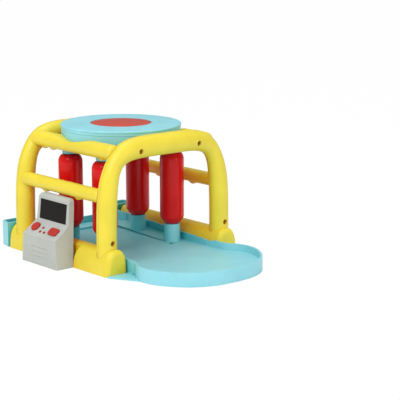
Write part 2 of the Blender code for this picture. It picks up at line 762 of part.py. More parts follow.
def lane_screw_places():
    return (("left", -LANE_SCREW_X, -LANE_SCREW_Y), ("right", LANE_SCREW_X, -LANE_SCREW_Y))


def build_tray():
    outline = mirrored(tray_half())
    inner = inset(outline, TRAY_WALL)
    high = FLANK_HEIGHT + OVERRUN
    wide = BEAM_OUTER + OVERRUN
    tray = extruded("base_tray", outline, 0, FLANK_HEIGHT, BLUE)
    bay_front, bay_rear = -TOE_FRONT + TOE_LENGTH / 2, TOE_FRONT - TRAY_WALL
    apron_top = box("tray_apron_top", (-wide, -APRON_REACH - OVERRUN, TRAY_RIM), (wide, bay_front, high))
    slope = [
        (bay_front - OVERRUN, side_top(bay_front)), (bay_rear, side_top(bay_rear)),
        (bay_rear, high), (bay_front - OVERRUN, high),
    ]
    bay_top = extruded("tray_bay_top", slope, -wide, wide, None, YZ_PLANE)
    dip = extruded("tray_rear_dip", rear_dip(), -REAR_END - OVERRUN, -bay_rear + OVERRUN, None, XZ_PLANE)
    inside = extruded("tray_inside", inner, TRAY_FLOOR, high)
    under = extruded("tray_underside", inner, -OVERRUN, TRAY_FLOOR - TRAY_FLOOR_THICKNESS)
    cut(under, bed_prism(
        "tray_bed_underside", BEAM_OUTER, 0, BED_THICKNESS, BED_FRONT + WALL, BED_REAR + WALL,
    ))
    cut(tray, apron_top, bay_top, dip, inside, under)
    beds = (("tray_bed", BAY_SIDE, TOE_END - TRAY_WALL), ("tray_bed_neck", NECK_SIDE, BED_REAR))
    for name, side, rear in beds:
        join(tray, bed_prism(name, side - TRAY_WALL / 2, 0, BED_THICKNESS, BED_FRONT, rear))
    cut(tray, bed_prism(
        "tray_lane_recess", LANE_HALF_WIDTH + LANE_GROOVE, -OVERRUN, LANE_THICKNESS,
        BED_FRONT - WALL, BED_REAR - WALL,
    ))
    foot_top = bed_top(0) - FOOT_TOP_DEPTH
    join(tray, cylinder("tray_centre_foot", FOOT_RADIUS, (0, 0, 0), (0, 0, foot_top), HOLE_STEPS))
    wall_face = BAY_SIDE - TRAY_WALL
    for name, x, y in roller_places():
        join(tray, cylinder(
            f"tray_pillar_{name}", PILLAR_RADIUS, (x, y, bed_top(y) - PILLAR_ROOT),
            (x, y, ROLLER_BOTTOM - SEAT_GAP), ROLLER_STEPS,
        ))
        hand = math.copysign(1, x)
        start, end = sorted((hand * (wall_face - OVERRUN), hand * (wall_face + POCKET_DEPTH)))
        middle = y - POCKET_BACKSET
        low = bed_top(y) + POCKET_LIFT
        cut(tray, box(
            f"tray_pocket_{name}", (start, middle - POCKET_LENGTH / 2, low),
            (end, middle + POCKET_LENGTH / 2, low + POCKET_HEIGHT),
        ))
        cut(tray, cylinder(
            f"tray_axle_hole_{name}", AXLE_RADIUS + BEARING_GAP,
            (x, y, ROLLER_BOTTOM - AXLE_DEPTH - SEAT_GAP), (x, y, ROLLER_BOTTOM + OVERRUN), SMALL_STEPS,
        ))
    for name, x, y in lane_screw_places():
        join(tray, cylinder(
            f"tray_lane_boss_{name}", LANE_BOSS_RADIUS,
            (x, y, 0), (x, y, bed_top(y) - LANE_THICKNESS - SEAT_GAP), SMALL_STEPS,
        ))
        cut(tray, cylinder(
            f"tray_lane_screw_hole_{name}", SCREW_SHANK_RADIUS + SEAT_GAP,
            (x, y, bed_top(y) + OVERRUN), (x, y, bed_top(y) - LANE_SCREW_LENGTH - LANE_THICKNESS),
            SMALL_STEPS,
        ))
    for hand, sign in (("left", -1), ("right", 1)):
        corner = [
            (sign * (NECK_SIDE - TRAY_WALL / 2), -TOE_FRONT - SEAT_GAP),
            (sign * (APRON_HALF_WIDTH - TRAY_WALL), -CORNER_FLANGE_Y - OVERRUN),
            (sign * CORNER_FLANGE_X, -CORNER_FLANGE_Y),
            (sign * BEAM_OUTER, -TOE_FRONT - SEAT_GAP),
        ]
        join(tray, extruded(f"tray_corner_flange_{hand}", corner, 0, CORNER_FLANGE_THICKNESS))
    return tray


def build_lane_panel():
    panel = bed_prism(
        "lane_panel", LANE_HALF_WIDTH, 0, LANE_THICKNESS - SEAT_GAP,
        BED_FRONT - WALL - SEAT_GAP, BED_REAR - WALL - SEAT_GAP, BLUE,
    )
    for name, x, y in roller_places():
        cut(panel, cylinder(
            f"lane_pillar_notch_{name}", PILLAR_RADIUS + SEAT_GAP,
            (x, y, 0), (x, y, ROLLER_BOTTOM), ROLLER_STEPS,
        ))
    for name, x, y in lane_screw_places():
        head = (x, y, bed_top(y) + LANE_SCREW_RISE)
        cut(panel, screw_cutter(
            f"lane_screw_room_{name}", head, (0, 0, 1), LANE_SCREW_LENGTH, OVERRUN, LANE_SCREW_HEAD_RADIUS,
        ))
        screw(f"lane_screw_{name}", head, (0, 0, 1), LANE_SCREW_LENGTH, LANE_SCREW_HEAD_RADIUS)
    return panel


# Rails

def half_disc(name, x, y, z, radius, thickness):
    """The lower half of a disc whose faces look along X."""
    outline = arc((y, z), radius, 180, 360, LUG_STEPS)
    return extruded(name, outline, x - thickness / 2, x + thickness / 2, None, YZ_PLANE)


def build_mid_rail(hand, sign, z, arch_rooms):
    x = sign * MID_RAIL_X
    half = MID_RAIL_HALF_LENGTH
    rail = cylinder(f"{hand}_mid_rail", MID_RAIL_RADIUS, (x, -half, z), (x, half, z), RAIL_STEPS, YELLOW)
    bevel(rail, MID_RAIL_EDGE_ROUND)
    for end, y in (("front", -LUG_Y), ("rear", LUG_Y)):
        join(rail, half_disc(f"{hand}_mid_rail_lug_{end}", x, y, z, LUG_RADIUS, LUG_THICKNESS))
    cut(rail, *arch_rooms)
    pin_end = half + RAIL_PIN_REACH - SEAT_GAP
    return join(rail, cylinder(
        f"{hand}_mid_rail_pins", RAIL_PIN_RADIUS, (x, -pin_end, z), (x, pin_end, z), HOLE_STEPS,
    ))


def scallop():
    """What is cut from a top rail beside the bowl, in Y and Z: a smooth dip from end to end."""
    above = TOP_RAIL_CREST + OVERRUN
    dip = []
    for step in range(-SCALLOP_STEPS, SCALLOP_STEPS + 1):
        share = step / SCALLOP_STEPS
        ease = (1 + math.cos(math.pi * share)) / 2
        dip.append((SCALLOP_HALF_LENGTH * share, TOP_RAIL_CREST - SCALLOP_DEPTH * ease))
    return [*dip, (SCALLOP_HALF_LENGTH, above), (-SCALLOP_HALF_LENGTH, above)]


def build_top_rail(hand, sign, rooms):
    x = sign * TOP_RAIL_X
    half = TOP_RAIL_HALF_LENGTH
    name = f"{hand}_top_rail"
    rail = cylinder(
        name, TOP_RAIL_RADIUS, (x, -half, TOP_RAIL_Z), (x, half, TOP_RAIL_Z), RAIL_STEPS, YELLOW,
    )
    bevel(rail, TOP_RAIL_EDGE_ROUND, EDGE_STEPS)
    reach = TOP_RAIL_RADIUS + OVERRUN
    cut(rail, extruded(name + "_scallop", scallop(), x - reach, x + reach, None, YZ_PLANE))
    for end, side in (("front", -1), ("rear", 1)):
        for place_name, y in (("inner", ROOF_LUG_INNER_Y), ("outer", ROOF_LUG_OUTER_Y)):
            join(rail, half_disc(
                f"{name}_lug_{end}_{place_name}", sign * ROOF_LUG_X, side * y, ROOF_LUG_Z,
                ROOF_LUG_RADIUS, ROOF_LUG_THICKNESS,
            ))
    cut(rail, *rooms)
    for end, side in (("front", -1), ("rear", 1)):
        y = side * ROOF_SCREW_Y
        start = (sign * GEARBOX_HALF_X, y, ROOF_SCREW_Z)
        cut(rail, cylinder(
            f"{name}_screw_hole_{end}", SCREW_SHANK_RADIUS + SEAT_GAP,
            start, (sign * (roof_screw_head() + SCREW_LENGTH + SEAT_GAP), y, ROOF_SCREW_Z), SMALL_STEPS,
        ))
    return rail


# Roof

def gearbox_outline(grow):
    """A disc cut off square at its sides, with a lobe round each roller, grown by a distance."""
    side, disc, lobe = (size + grow for size in (GEARBOX_HALF_X, GEARBOX_RADIUS, GEARBOX_LOBE_RADIUS))
    towards = math.atan2(ROLLER_Y, ROLLER_X)
    along = (disc ** 2 - lobe ** 2 + ROLLER_DISTANCE ** 2) / (2 * ROLLER_DISTANCE)
    meeting = towards + math.acos(along / disc)
    first = -math.degrees(math.acos((side - ROLLER_X) / lobe))
    last = math.degrees(math.atan2(
        disc * math.sin(meeting) - ROLLER_Y, disc * math.cos(meeting) - ROLLER_X,
    ))
    quarter = arc((ROLLER_X, ROLLER_Y), lobe, first, last, GEARBOX_LOBE_STEPS)
    quarter += arc((0, 0), disc, math.degrees(meeting), 90, CORNER_STEPS)[1:]
    return mirrored([*((x, -y) for x, y in reversed(quarter)), *quarter])


def roof_screw_head():
    """How far out the heads lie of the screws that hold the gearbox to the top rails."""
    return GEARBOX_HALF_X - GEARBOX_WALL - SEAT_GAP - SCREW_HEAD_HEIGHT


def bowl_side(grow, floor):
    """The bowl's side from rim to floor, grown by a distance."""
    swell = BOWL_RADIUS - BOWL_FOOT_RADIUS
    centre = (BOWL_FOOT_RADIUS + grow, BOWL_BEND_Z)
    bend = oval(centre, swell, floor - BOWL_BEND_Z, 0, 90, BOWL_BEND_STEPS)
    return [(BOWL_RADIUS + grow, BOWL_RIM_Z), *bend]


def build_bowl():
    tube = SPINDLE_RADIUS + SEAT_GAP
    profile = [
        *bowl_side(0, LID_BOTTOM), (tube, LID_BOTTOM), (tube, SPINDLE_TUBE_TOP),
        (tube + BOWL_WALL, SPINDLE_TUBE_TOP), (tube + BOWL_WALL, LID_TOP),
        *reversed(bowl_side(-BOWL_WALL, LID_TOP)),
    ]
    bowl = turned("roof_bowl", profile, TURN_STEPS, BLUE, closed=True)
    plate = extruded("roof_lid_plate", gearbox_outline(0), LID_BOTTOM, LID_TOP)
    cut(plate, cylinder(
        "roof_lid_bore", LID_BORE_RADIUS, (0, 0, LID_BOTTOM - OVERRUN), (0, 0, LID_TOP + OVERRUN), TURN_STEPS,
    ))
    return join(bowl, plate)


def bowl_room(name, grow):
    """The bowl's outer shape, grown by a distance, as a cutter for what it leans on."""
    rim = (BOWL_RADIUS + grow, BOWL_RIM_Z + OVERRUN)
    profile = [(0, rim[1]), rim, *bowl_side(grow, LID_BOTTOM)[1:], (0, LID_BOTTOM)]
    return turned(name, profile, TURN_STEPS)


def gearbox_room():
    outline = gearbox_outline(SEAT_GAP)
    return extruded("roof_gearbox_room", outline, GEARBOX_BOTTOM - OVERRUN, LID_TOP + SEAT_GAP)


def build_gearbox():
    gearbox = extruded("roof_gearbox", gearbox_outline(0), GEARBOX_BOTTOM, GEARBOX_TOP, BLUE)
    inside = extruded("gearbox_inside", gearbox_outline(-GEARBOX_WALL), GEARBOX_FLOOR, GEARBOX_TOP + OVERRUN)
    wall = GEARBOX_HALF_X - GEARBOX_WALL
    boss_low = ROOF_SCREW_Z - ROOF_SCREW_DEPTH
    for hand, sign in (("left", -1), ("right", 1)):
        rail_room = cylinder(
            f"gearbox_{hand}_rail_room", TOP_RAIL_RADIUS + SEAT_GAP,
            (sign * TOP_RAIL_X, -GEARBOX_RADIUS, TOP_RAIL_Z), (sign * TOP_RAIL_X, GEARBOX_RADIUS, TOP_RAIL_Z),
            RAIL_STEPS,
        )
        start, end = sorted((sign * (wall + GEARBOX_WALL / 2), sign * TOP_RAIL_X))
        for label, side in (("front", -1), ("rear", 1)):
            y = side * ROOF_SCREW_Y
            boss = box(
                f"gearbox_boss_{label}_{hand}", (start, y - ROOF_BOSS_HALF_WIDTH, boss_low),
                (end, y + ROOF_BOSS_HALF_WIDTH, GEARBOX_TOP),
            )
            join(gearbox, cut(boss, rail_room))
    for name, x, y in roller_places():
        join(gearbox, cylinder(
            f"gearbox_roller_boss_{name}", PILLAR_RADIUS, (x, y, ROLLER_TOP + UPPER_BOSS_GAP),
            (x, y, GEARBOX_BOTTOM + GEARBOX_FLOOR_THICKNESS / 2), ROLLER_STEPS,
        ))
    cut(gearbox, inside)
    for name, x, y in roller_places():
        cut(gearbox, cylinder(
            f"gearbox_bearing_{name}", AXLE_RADIUS + BEARING_GAP,
            (x, y, ROLLER_TOP), (x, y, GEARBOX_FLOOR + OVERRUN), HOLE_STEPS,
        ))
    for hand, sign in (("left", -1), ("right", 1)):
        for label, side in (("front", -1), ("rear", 1)):
            name = f"roof_screw_{label}_{hand}"
            y = side * ROOF_SCREW_Y
            cut(gearbox, cylinder(
                name + "_hole", SCREW_SHANK_RADIUS + SEAT_GAP,
                (sign * (wall - OVERRUN), y, ROOF_SCREW_Z), (sign * TOP_RAIL_X, y, ROOF_SCREW_Z), SMALL_STEPS,
            ))
            head = (sign * roof_screw_head(), y, ROOF_SCREW_Z)
            screw(name, head, (-sign, 0, 0), SCREW_LENGTH, ROOF_SCREW_HEAD_RADIUS)
    return gearbox


# Dial and gears

def build_dial():
    """The turning roof disc, whose hub runs down through the bowl to the big gear."""
    step = DIAL_EDGE_ROUND
    plate_low = DIAL_TOP - DIAL_PLATE
    recess = DIAL_TOP - INSET_THICKNESS
    inset_room = INSET_RADIUS + SEAT_GAP
    ring = inset_room + INSET_RING_WIDTH
    profile = [
        (0, recess), (inset_room, recess), (inset_room, DIAL_TOP + INSET_RING_HEIGHT),
        (ring, DIAL_TOP + INSET_RING_HEIGHT), (ring, DIAL_TOP),
        *arc((DIAL_RADIUS - step, DIAL_TOP - step), step, 90, 0, EDGE_STEPS),
        (DIAL_RADIUS, DIAL_BOTTOM), (DIAL_RADIUS - WALL, DIAL_BOTTOM), (DIAL_RADIUS - WALL, plate_low),
        (SPINDLE_RADIUS, plate_low), (SPINDLE_RADIUS, dial_hub_bottom()),
        (SCREW_SHANK_RADIUS + SEAT_GAP, dial_hub_bottom()),
        (SCREW_SHANK_RADIUS + SEAT_GAP, dial_hub_bottom() + SCREW_LENGTH),
        (0, dial_hub_bottom() + SCREW_LENGTH),
    ]
    return turned("dial", profile, TURN_STEPS, BLUE)


def dial_hub_bottom():
    return GEAR_TOP + SEAT_GAP


def build_dial_inset():
    low = DIAL_TOP - INSET_THICKNESS + SEAT_GAP
    profile = [(0, DIAL_TOP), (INSET_RADIUS, DIAL_TOP), (INSET_RADIUS, low), (0, low)]
    return turned("dial_inset", profile, TURN_STEPS, RED)


def flank_angle(radius, pitch_radius, teeth):
    """Half the angle that a tooth takes at a radius, from the involute."""
    base = pitch_radius * math.cos(PRESSURE_ANGLE)
    reach = math.acos(min(1.0, base / radius))
    at_radius = math.tan(reach) - reach
    at_pitch = math.tan(PRESSURE_ANGLE) - PRESSURE_ANGLE
    slack = TOOTH_BACKLASH_SHARE * GEAR_MODULE / pitch_radius
    return math.pi / (2 * teeth) + at_pitch - at_radius - slack


def gear_outline(teeth, pitch_radius, addendum_share, phase, steps):
    """Teeth with involute flanks; one tooth is centred at the phase angle."""
    base = pitch_radius * math.cos(PRESSURE_ANGLE)
    root = pitch_radius - DEDENDUM_SHARE * GEAR_MODULE
    tip = pitch_radius + addendum_share * GEAR_MODULE
    start = max(base, root)
    radii = [start + (tip - start) * i / steps for i in range(steps + 1)]
    points = []
    for tooth in range(teeth):
        middle = phase + 2 * math.pi * tooth / teeth
        half = [(r, flank_angle(r, pitch_radius, teeth)) for r in radii]
        if root < start:
            half.insert(0, (root, half[0][1]))
        polar = [(r, middle - a) for r, a in half] + [(r, middle + a) for r, a in reversed(half)]
        points += [(r * math.cos(a), r * math.sin(a)) for r, a in polar]
    return points


def build_dial_gear():
    outline = gear_outline(GEAR_TEETH, GEAR_PITCH_RADIUS, GEAR_ADDENDUM_SHARE, 0, 1)
    gear = extruded("dial_gear", outline, GEAR_BOTTOM, GEAR_TOP, WHITE)
    head = (0, 0, GEAR_BOTTOM + SEAT_GAP)
    cut(gear, screw_cutter("dial_gear_screw_room", head, (0, 0, -1), SCREW_LENGTH, OVERRUN))
    screw("dial_screw", head, (0, 0, -1), SCREW_LENGTH)
    return gear


def pinion_phase(x, y):
    """The angle of a pinion tooth that meshes with the big gear at rest."""
    towards = math.atan2(y, x)
    share = (towards * GEAR_TEETH / (2 * math.pi)) % 1
    return towards + math.pi + (share + 0.5) * 2 * math.pi / PINION_TEETH


def build_roller(name, x, y):
    """A smooth vertical roller, with a stub axle at each end, turning about its own axis."""
    high = (ROLLER_RADIUS - TOP_SHOULDER_WIDTH, ROLLER_TOP - TOP_SHOULDER_HEIGHT)
    low = (ROLLER_RADIUS - FOOT_SHOULDER_RADIUS, ROLLER_BOTTOM + FOOT_SHOULDER_RADIUS)
    profile = [
        (0, GEAR_TOP), (AXLE_RADIUS, GEAR_TOP), (AXLE_RADIUS, ROLLER_TOP),
        *oval(high, TOP_SHOULDER_WIDTH, TOP_SHOULDER_HEIGHT, 90, 0, SHOULDER_STEPS),
        *arc(low, FOOT_SHOULDER_RADIUS, 0, -90, SHOULDER_STEPS),
        (AXLE_RADIUS, ROLLER_BOTTOM), (AXLE_RADIUS, ROLLER_BOTTOM - AXLE_DEPTH),
        (0, ROLLER_BOTTOM - AXLE_DEPTH),
    ]
    roller = turned(f"roller_{name}", profile, ROLLER_STEPS, RED)
    roller.location = (x, y, 0)
    outline = gear_outline(PINION_TEETH, PINION_PITCH_RADIUS, PINION_ADDENDUM_SHARE, pinion_phase(x, y), 2)
    pinion = extruded(f"pinion_{name}", outline, GEAR_BOTTOM, GEAR_TOP, WHITE)
    pinion.location = (x, y, 0)
    cut(pinion, cylinder(
        f"pinion_bore_{name}", AXLE_RADIUS + SEAT_GAP,
        (x, y, GEAR_BOTTOM - OVERRUN), (x, y, GEAR_TOP + OVERRUN), HOLE_STEPS,
    ))


# Console

def console_profile(margin=0):
    """The console's side, X outward and Z up, or the room inside its walls, open at the back and foot."""
    run = margin + OVERRUN if margin else 0
    deck_end = CONSOLE_FRONT - (DECK_BACK_Z - DECK_FRONT_Z) / DECK_RISE_SHARE
    points = [
        (CONSOLE_BACK_FOOT - run, -run), (CONSOLE_FRONT, -run), (CONSOLE_FRONT, DECK_FRONT_Z),
        (deck_end, DECK_BACK_Z), (TOWER_FRONT_X, TOWER_FOOT_Z), (TOWER_TOP_X, TOWER_SHOULDER_Z),
        (TOWER_TOP_X - CONSOLE_EDGE_ROUND, CONSOLE_HEIGHT), (CONSOLE_BACK_TOP - run, CONSOLE_HEIGHT),
    ]
    return inset(points, margin)


def console_front(margin=0):
    """The console's outline across, in Y and Z, with its draft."""
    run = margin + OVERRUN if margin else 0
    side = [
        (CONSOLE_HALF_WIDTH, -run), (CONSOLE_DECK_HALF_WIDTH, DECK_BACK_Z),
        (CONSOLE_TOP_HALF_WIDTH, CONSOLE_HEIGHT),
    ]
    return inset([*side, *((-y, z) for y, z in reversed(side))], margin)


def console_block(name, profile, margin=0, look=None):
    """A side profile across the console, kept within its drafted sides."""
    wide = CONSOLE_HALF_WIDTH + OVERRUN
    reach = CONSOLE_FRONT + OVERRUN
    block = extruded(name, flipped(profile, -1), -wide, wide, look, XZ_PLANE)
    draft = extruded(name + "_draft", console_front(margin), -reach, 0, None, YZ_PLANE)
    return boolean(block, draft, "INTERSECT")


def console_back_x(z):
    """Where the console's back lies at a height, outward from the middle."""
    return CONSOLE_BACK_FOOT - (CONSOLE_BACK_FOOT - CONSOLE_BACK_TOP) * z / CONSOLE_HEIGHT


def deck_frame(x, y):
    """The place on the sloping deck at X outward and Y, with Z along the deck's normal."""
    up_slope = Vector((1, 0, DECK_RISE_SHARE)).normalized()
    across = Vector((0, 1, 0))
    normal = up_slope.cross(across)
    z = DECK_FRONT_Z + DECK_RISE_SHARE * (CONSOLE_FRONT - x)
    turn = Matrix((up_slope, across, normal)).transposed().to_4x4()
    return Matrix.Translation((-x, y, z)) @ turn


def tower_frame(z):
    """The middle of the tower's face at a height, with X to the viewer's right and Z outward."""
    lean = (TOWER_FRONT_X - TOWER_TOP_X) / (TOWER_SHOULDER_Z - TOWER_FOOT_Z)
    up_face = Vector((lean, 0, 1)).normalized()
    outward = Vector((-1, 0, lean)).normalized()
    turn = Matrix((up_face.cross(outward), up_face, outward)).transposed().to_4x4()
    return Matrix.Translation((-TOWER_FRONT_X + lean * (z - TOWER_FOOT_Z), 0, z)) @ turn


def pad_places():
    return (
        ("front_left", PAD_FRONT_X, PAD_LEFT_Y), ("rear_left", PAD_REAR_X, PAD_LEFT_Y),
        ("front_right", PAD_FRONT_X, PAD_RIGHT_Y),
    )


def wide_button_plate(name, grow, low, high, look=None):
    half_x, half_y = WIDE_BUTTON_DEPTH / 2 + grow, WIDE_BUTTON_WIDTH / 2 + grow
    outline = rounded_rectangle(half_x, half_y, WIDE_BUTTON_CORNER + grow, EDGE_STEPS)
    return extruded(name, outline, low, high, look)


def placed(obj, frame):
    obj.matrix_world = frame
    return obj


def build_console():
    housing = console_block("console_housing", console_profile(), 0, GREY)
    bevel(housing, CONSOLE_EDGE_ROUND)
    cut(housing, console_block("console_room", console_profile(CONSOLE_WALL), CONSOLE_WALL))
    drop = -CONSOLE_WALL - OVERRUN
    round_frame = deck_frame(ROUND_BUTTON_X, ROUND_BUTTON_Y)
    wide_frame = deck_frame(WIDE_BUTTON_X, WIDE_BUTTON_Y)
    cut(
        housing,
        placed(cylinder(
            "round_button_hole", ROUND_BUTTON_RADIUS + SEAT_GAP, (0, 0, drop), (0, 0, OVERRUN), BUTTON_STEPS,
        ), round_frame),
        placed(wide_button_plate("wide_button_hole", SEAT_GAP, drop, OVERRUN), wide_frame),
    )
    for name, x, y in pad_places():
        cut(housing, placed(cylinder(
            f"pad_hole_{name}", PAD_RADIUS + SEAT_GAP, (0, 0, drop), (0, 0, OVERRUN), SMALL_STEPS,
        ), deck_frame(x, y)))
    for label, y in (("front", -TOWER_SCREW_Y), ("rear", TOWER_SCREW_Y)):
        back = -console_back_x(TOWER_SCREW_Z)
        lean = (CONSOLE_BACK_FOOT - CONSOLE_BACK_TOP) / CONSOLE_HEIGHT
        plate_front = back - BACK_PLATE_THICKNESS - SEAT_GAP - CONSOLE_BOSS_RADIUS * lean
        face = tower_frame(TOWER_SCREW_Z).translation.x
        wall_inside = face + CONSOLE_WALL
        join(housing, cylinder(
            f"console_boss_{label}", CONSOLE_BOSS_RADIUS, (wall_inside - CONSOLE_BOSS_ROOT, y, TOWER_SCREW_Z),
            (plate_front, y, TOWER_SCREW_Z), HOLE_STEPS,
        ))
        cut(housing, cylinder(
            f"console_boss_hole_{label}", SCREW_SHANK_RADIUS + SEAT_GAP,
            (wall_inside, y, TOWER_SCREW_Z), (plate_front + OVERRUN, y, TOWER_SCREW_Z), SMALL_STEPS,
        ))
    screen_middle = tower_frame(SCREEN_BOTTOM + SCREEN_HEIGHT / 2)
    half = Vector((SCREEN_WIDTH / 2, SCREEN_HEIGHT / 2, 0))
    room = half + Vector((SEAT_GAP, SEAT_GAP, 0))
    depth = SCREEN_SINK + SCREEN_THICKNESS
    cut(housing, placed(
        box("console_screen_room", -room - UP * (depth + SEAT_GAP), room + UP * OVERRUN), screen_middle,
    ))
    placed(box("console_screen", -half - UP * depth, half - UP * SCREEN_SINK, DARK), screen_middle)
    return housing


def build_console_back():
    """The plate that closes the console's back, with two bosses that reach the side beam."""
    high = CONSOLE_HEIGHT - CONSOLE_WALL - SEAT_GAP
    side = [
        (CONSOLE_BACK_FOOT, 0), (CONSOLE_BACK_FOOT + BACK_PLATE_THICKNESS, 0),
        (console_back_x(high) + BACK_PLATE_THICKNESS, high), (console_back_x(high), high),
    ]
    plate = console_block("console_back", side, CONSOLE_WALL + SEAT_GAP, GREY)
    for label, sign in (("front", -1), ("rear", 1)):
        y = sign * CONSOLE_SCREW_Y
        root = -console_back_x(CONSOLE_SCREW_Z) - BACK_PLATE_THICKNESS / 2
        face = -CONSOLE_SEAT_X - SEAT_GAP
        join(plate, cylinder(
            f"console_back_boss_{label}", CONSOLE_BOSS_RADIUS, (root, y, CONSOLE_SCREW_Z),
            (face, y, CONSOLE_SCREW_Z), HOLE_STEPS,
        ))
        head = (-CONSOLE_SEAT_X + WALL + SEAT_GAP + SCREW_HEAD_HEIGHT, y, CONSOLE_SCREW_Z)
        tip = (head[0] - CONSOLE_SCREW_LENGTH - SEAT_GAP, y, CONSOLE_SCREW_Z)
        cut(plate, cylinder(
            f"console_back_boss_hole_{label}", SCREW_SHANK_RADIUS + SEAT_GAP, tip,
            (face + OVERRUN, y, CONSOLE_SCREW_Z), SMALL_STEPS,
        ))
        screw(f"console_foot_screw_{label}", head, (1, 0, 0), CONSOLE_SCREW_LENGTH)
        y = sign * TOWER_SCREW_Y
        back = -console_back_x(TOWER_SCREW_Z)
        head = (back + SEAT_GAP + SCREW_HEAD_HEIGHT, y, TOWER_SCREW_Z)
        cut(plate, cylinder(
            f"console_back_hole_{label}", SCREW_SHANK_RADIUS + SEAT_GAP,
            (back - BACK_PLATE_THICKNESS - OVERRUN, y, TOWER_SCREW_Z), (back + OVERRUN, y, TOWER_SCREW_Z),
            SMALL_STEPS,
        ))
        screw(f"console_tower_screw_{label}", head, (1, 0, 0), TOWER_SCREW_LENGTH)
    return plate


def push_button(name, radius, rise, edge, frame, steps):
    """A round cap that shows above the deck, held under it by a flange."""
    low = -CONSOLE_WALL - SEAT_GAP
    wide = radius + BUTTON_FLANGE
    cap = arc((radius - edge, rise - edge), edge, 90, 0, EDGE_STEPS)
    profile = [
        (0, rise), *cap, (radius, low), (wide, low),
        (wide, low - BUTTON_FLANGE_THICKNESS), (0, low - BUTTON_FLANGE_THICKNESS),
    ]
    return placed(turned(name, profile, steps, RED), frame)


def build_buttons():
    frame = deck_frame(ROUND_BUTTON_X, ROUND_BUTTON_Y)
    push_button("round_button", ROUND_BUTTON_RADIUS, BUTTON_RISE, BUTTON_EDGE_ROUND, frame, BUTTON_STEPS)
    low = -CONSOLE_WALL - SEAT_GAP
    wide = wide_button_plate("wide_button", 0, low - BUTTON_FLANGE_THICKNESS, BUTTON_RISE, RED)
    bevel(wide, BUTTON_EDGE_ROUND)
    flange = wide_button_plate("wide_button_flange", BUTTON_FLANGE, low - BUTTON_FLANGE_THICKNESS, low)
    frame = deck_frame(WIDE_BUTTON_X, WIDE_BUTTON_Y)
    join(placed(wide, frame), placed(flange, frame))
    for name, x, y in pad_places():
        push_button(f"pad_{name}", PAD_RADIUS, PAD_RISE, PAD_EDGE_ROUND, deck_frame(x, y), PAD_STEPS)


def shade(obj):
    obj.data.shade_smooth()
    if obj.modifiers:
        return
    obj.data.set_sharp_from_angle(angle=SHARP_ANGLE)


def build():
    rooms = [
        arch_tube(f"{end}_arch_room", side * ARCH_Y, SEAT_GAP, LEG_FOOT - SEAT_GAP)
        for end, side in (("front", -1), ("rear", 1))
    ]
    build_tray()
    build_lane_panel()
    build_arch("front", -1)
    build_arch("rear", 1)
    roof = (bowl_room("roof_bowl_room", SEAT_GAP), gearbox_room())
    for hand, sign, z in (("left", -1, LEFT_RAIL_Z), ("right", 1, RIGHT_RAIL_Z)):
        build_beam(hand, sign, rooms)
        build_mid_rail(hand, sign, z, rooms)
        build_top_rail(hand, sign, (*rooms, *roof))
    build_gearbox()
    build_bowl()
    build_dial()
    build_dial_inset()
    build_dial_gear()
    for name, x, y in roller_places():
        build_roller(name, x, y)
    build_console()
    build_console_back()
    build_buttons()
    for obj in PARTS.objects:
        shade(obj)


clear_scene()
PARTS = new_collection("Toy car wash")
CUTTERS = new_collection("Cutters")
build()
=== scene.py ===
"""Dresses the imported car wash: fine pieces in moulded plastic, soft studio light and a camera."""
from math import acos, asin, atan2, copysign, cos, degrees, hypot, pi, radians, sin

import bmesh
import bpy
from mathutils import Euler, Matrix, Vector


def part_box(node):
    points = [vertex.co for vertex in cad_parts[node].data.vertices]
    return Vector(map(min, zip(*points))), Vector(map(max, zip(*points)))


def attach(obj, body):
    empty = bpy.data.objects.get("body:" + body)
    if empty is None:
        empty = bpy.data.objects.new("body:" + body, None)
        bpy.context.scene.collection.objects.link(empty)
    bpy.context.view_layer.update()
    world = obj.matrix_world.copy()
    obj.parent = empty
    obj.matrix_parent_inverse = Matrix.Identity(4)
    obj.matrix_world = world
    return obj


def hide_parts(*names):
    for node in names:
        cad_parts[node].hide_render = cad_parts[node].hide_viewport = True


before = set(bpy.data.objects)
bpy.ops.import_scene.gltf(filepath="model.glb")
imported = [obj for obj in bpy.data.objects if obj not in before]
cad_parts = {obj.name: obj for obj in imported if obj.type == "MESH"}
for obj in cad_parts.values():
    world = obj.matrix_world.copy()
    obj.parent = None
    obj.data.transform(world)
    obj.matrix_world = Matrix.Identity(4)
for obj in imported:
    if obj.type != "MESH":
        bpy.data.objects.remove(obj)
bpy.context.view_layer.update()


# Fits and finish
GAP = 0.0003
OVERRUN = 0.002  # how far a cutter reaches beyond what it cuts
WALL = 0.0024
MERGE_DISTANCE = 0.000001
SHARP_ANGLE = radians(32)
EDGE_ANGLE = radians(45)  # edges sharper than this are rounded
EDGE_ROUND = 0.0005
SMALL_EDGE_ROUND = 0.0004
FINE_EDGE_ROUND = 0.0003
STEEP_EDGE = radians(60)
UP = Vector((0, 0, 1))
HANDS = (("left", -1), ("right", 1))
ENDS = (("front", -1), ("rear", 1))

# How finely curves are drawn
BORE_SIDES = 48
BOWL_SIDES = 128
PILLAR_SIDES = 64
ROLLER_SIDES = 80
EDGE_STEPS = 4
SMALL_STEPS = 6
ROUND_STEPS = 8
CORNER_STEPS = 10
SHOULDER_STEPS = 16
LOBE_STEPS = 20
WAVE_STEPS = 32

# Sizes that the frame gives
BEAM_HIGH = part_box("right_lower_beam")[1]
DIAL_LOW, DIAL_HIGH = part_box("dial")
INSET_LOW, INSET_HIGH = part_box("dial_inset")
ROLLER_LOW, ROLLER_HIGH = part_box("roller_front_right")

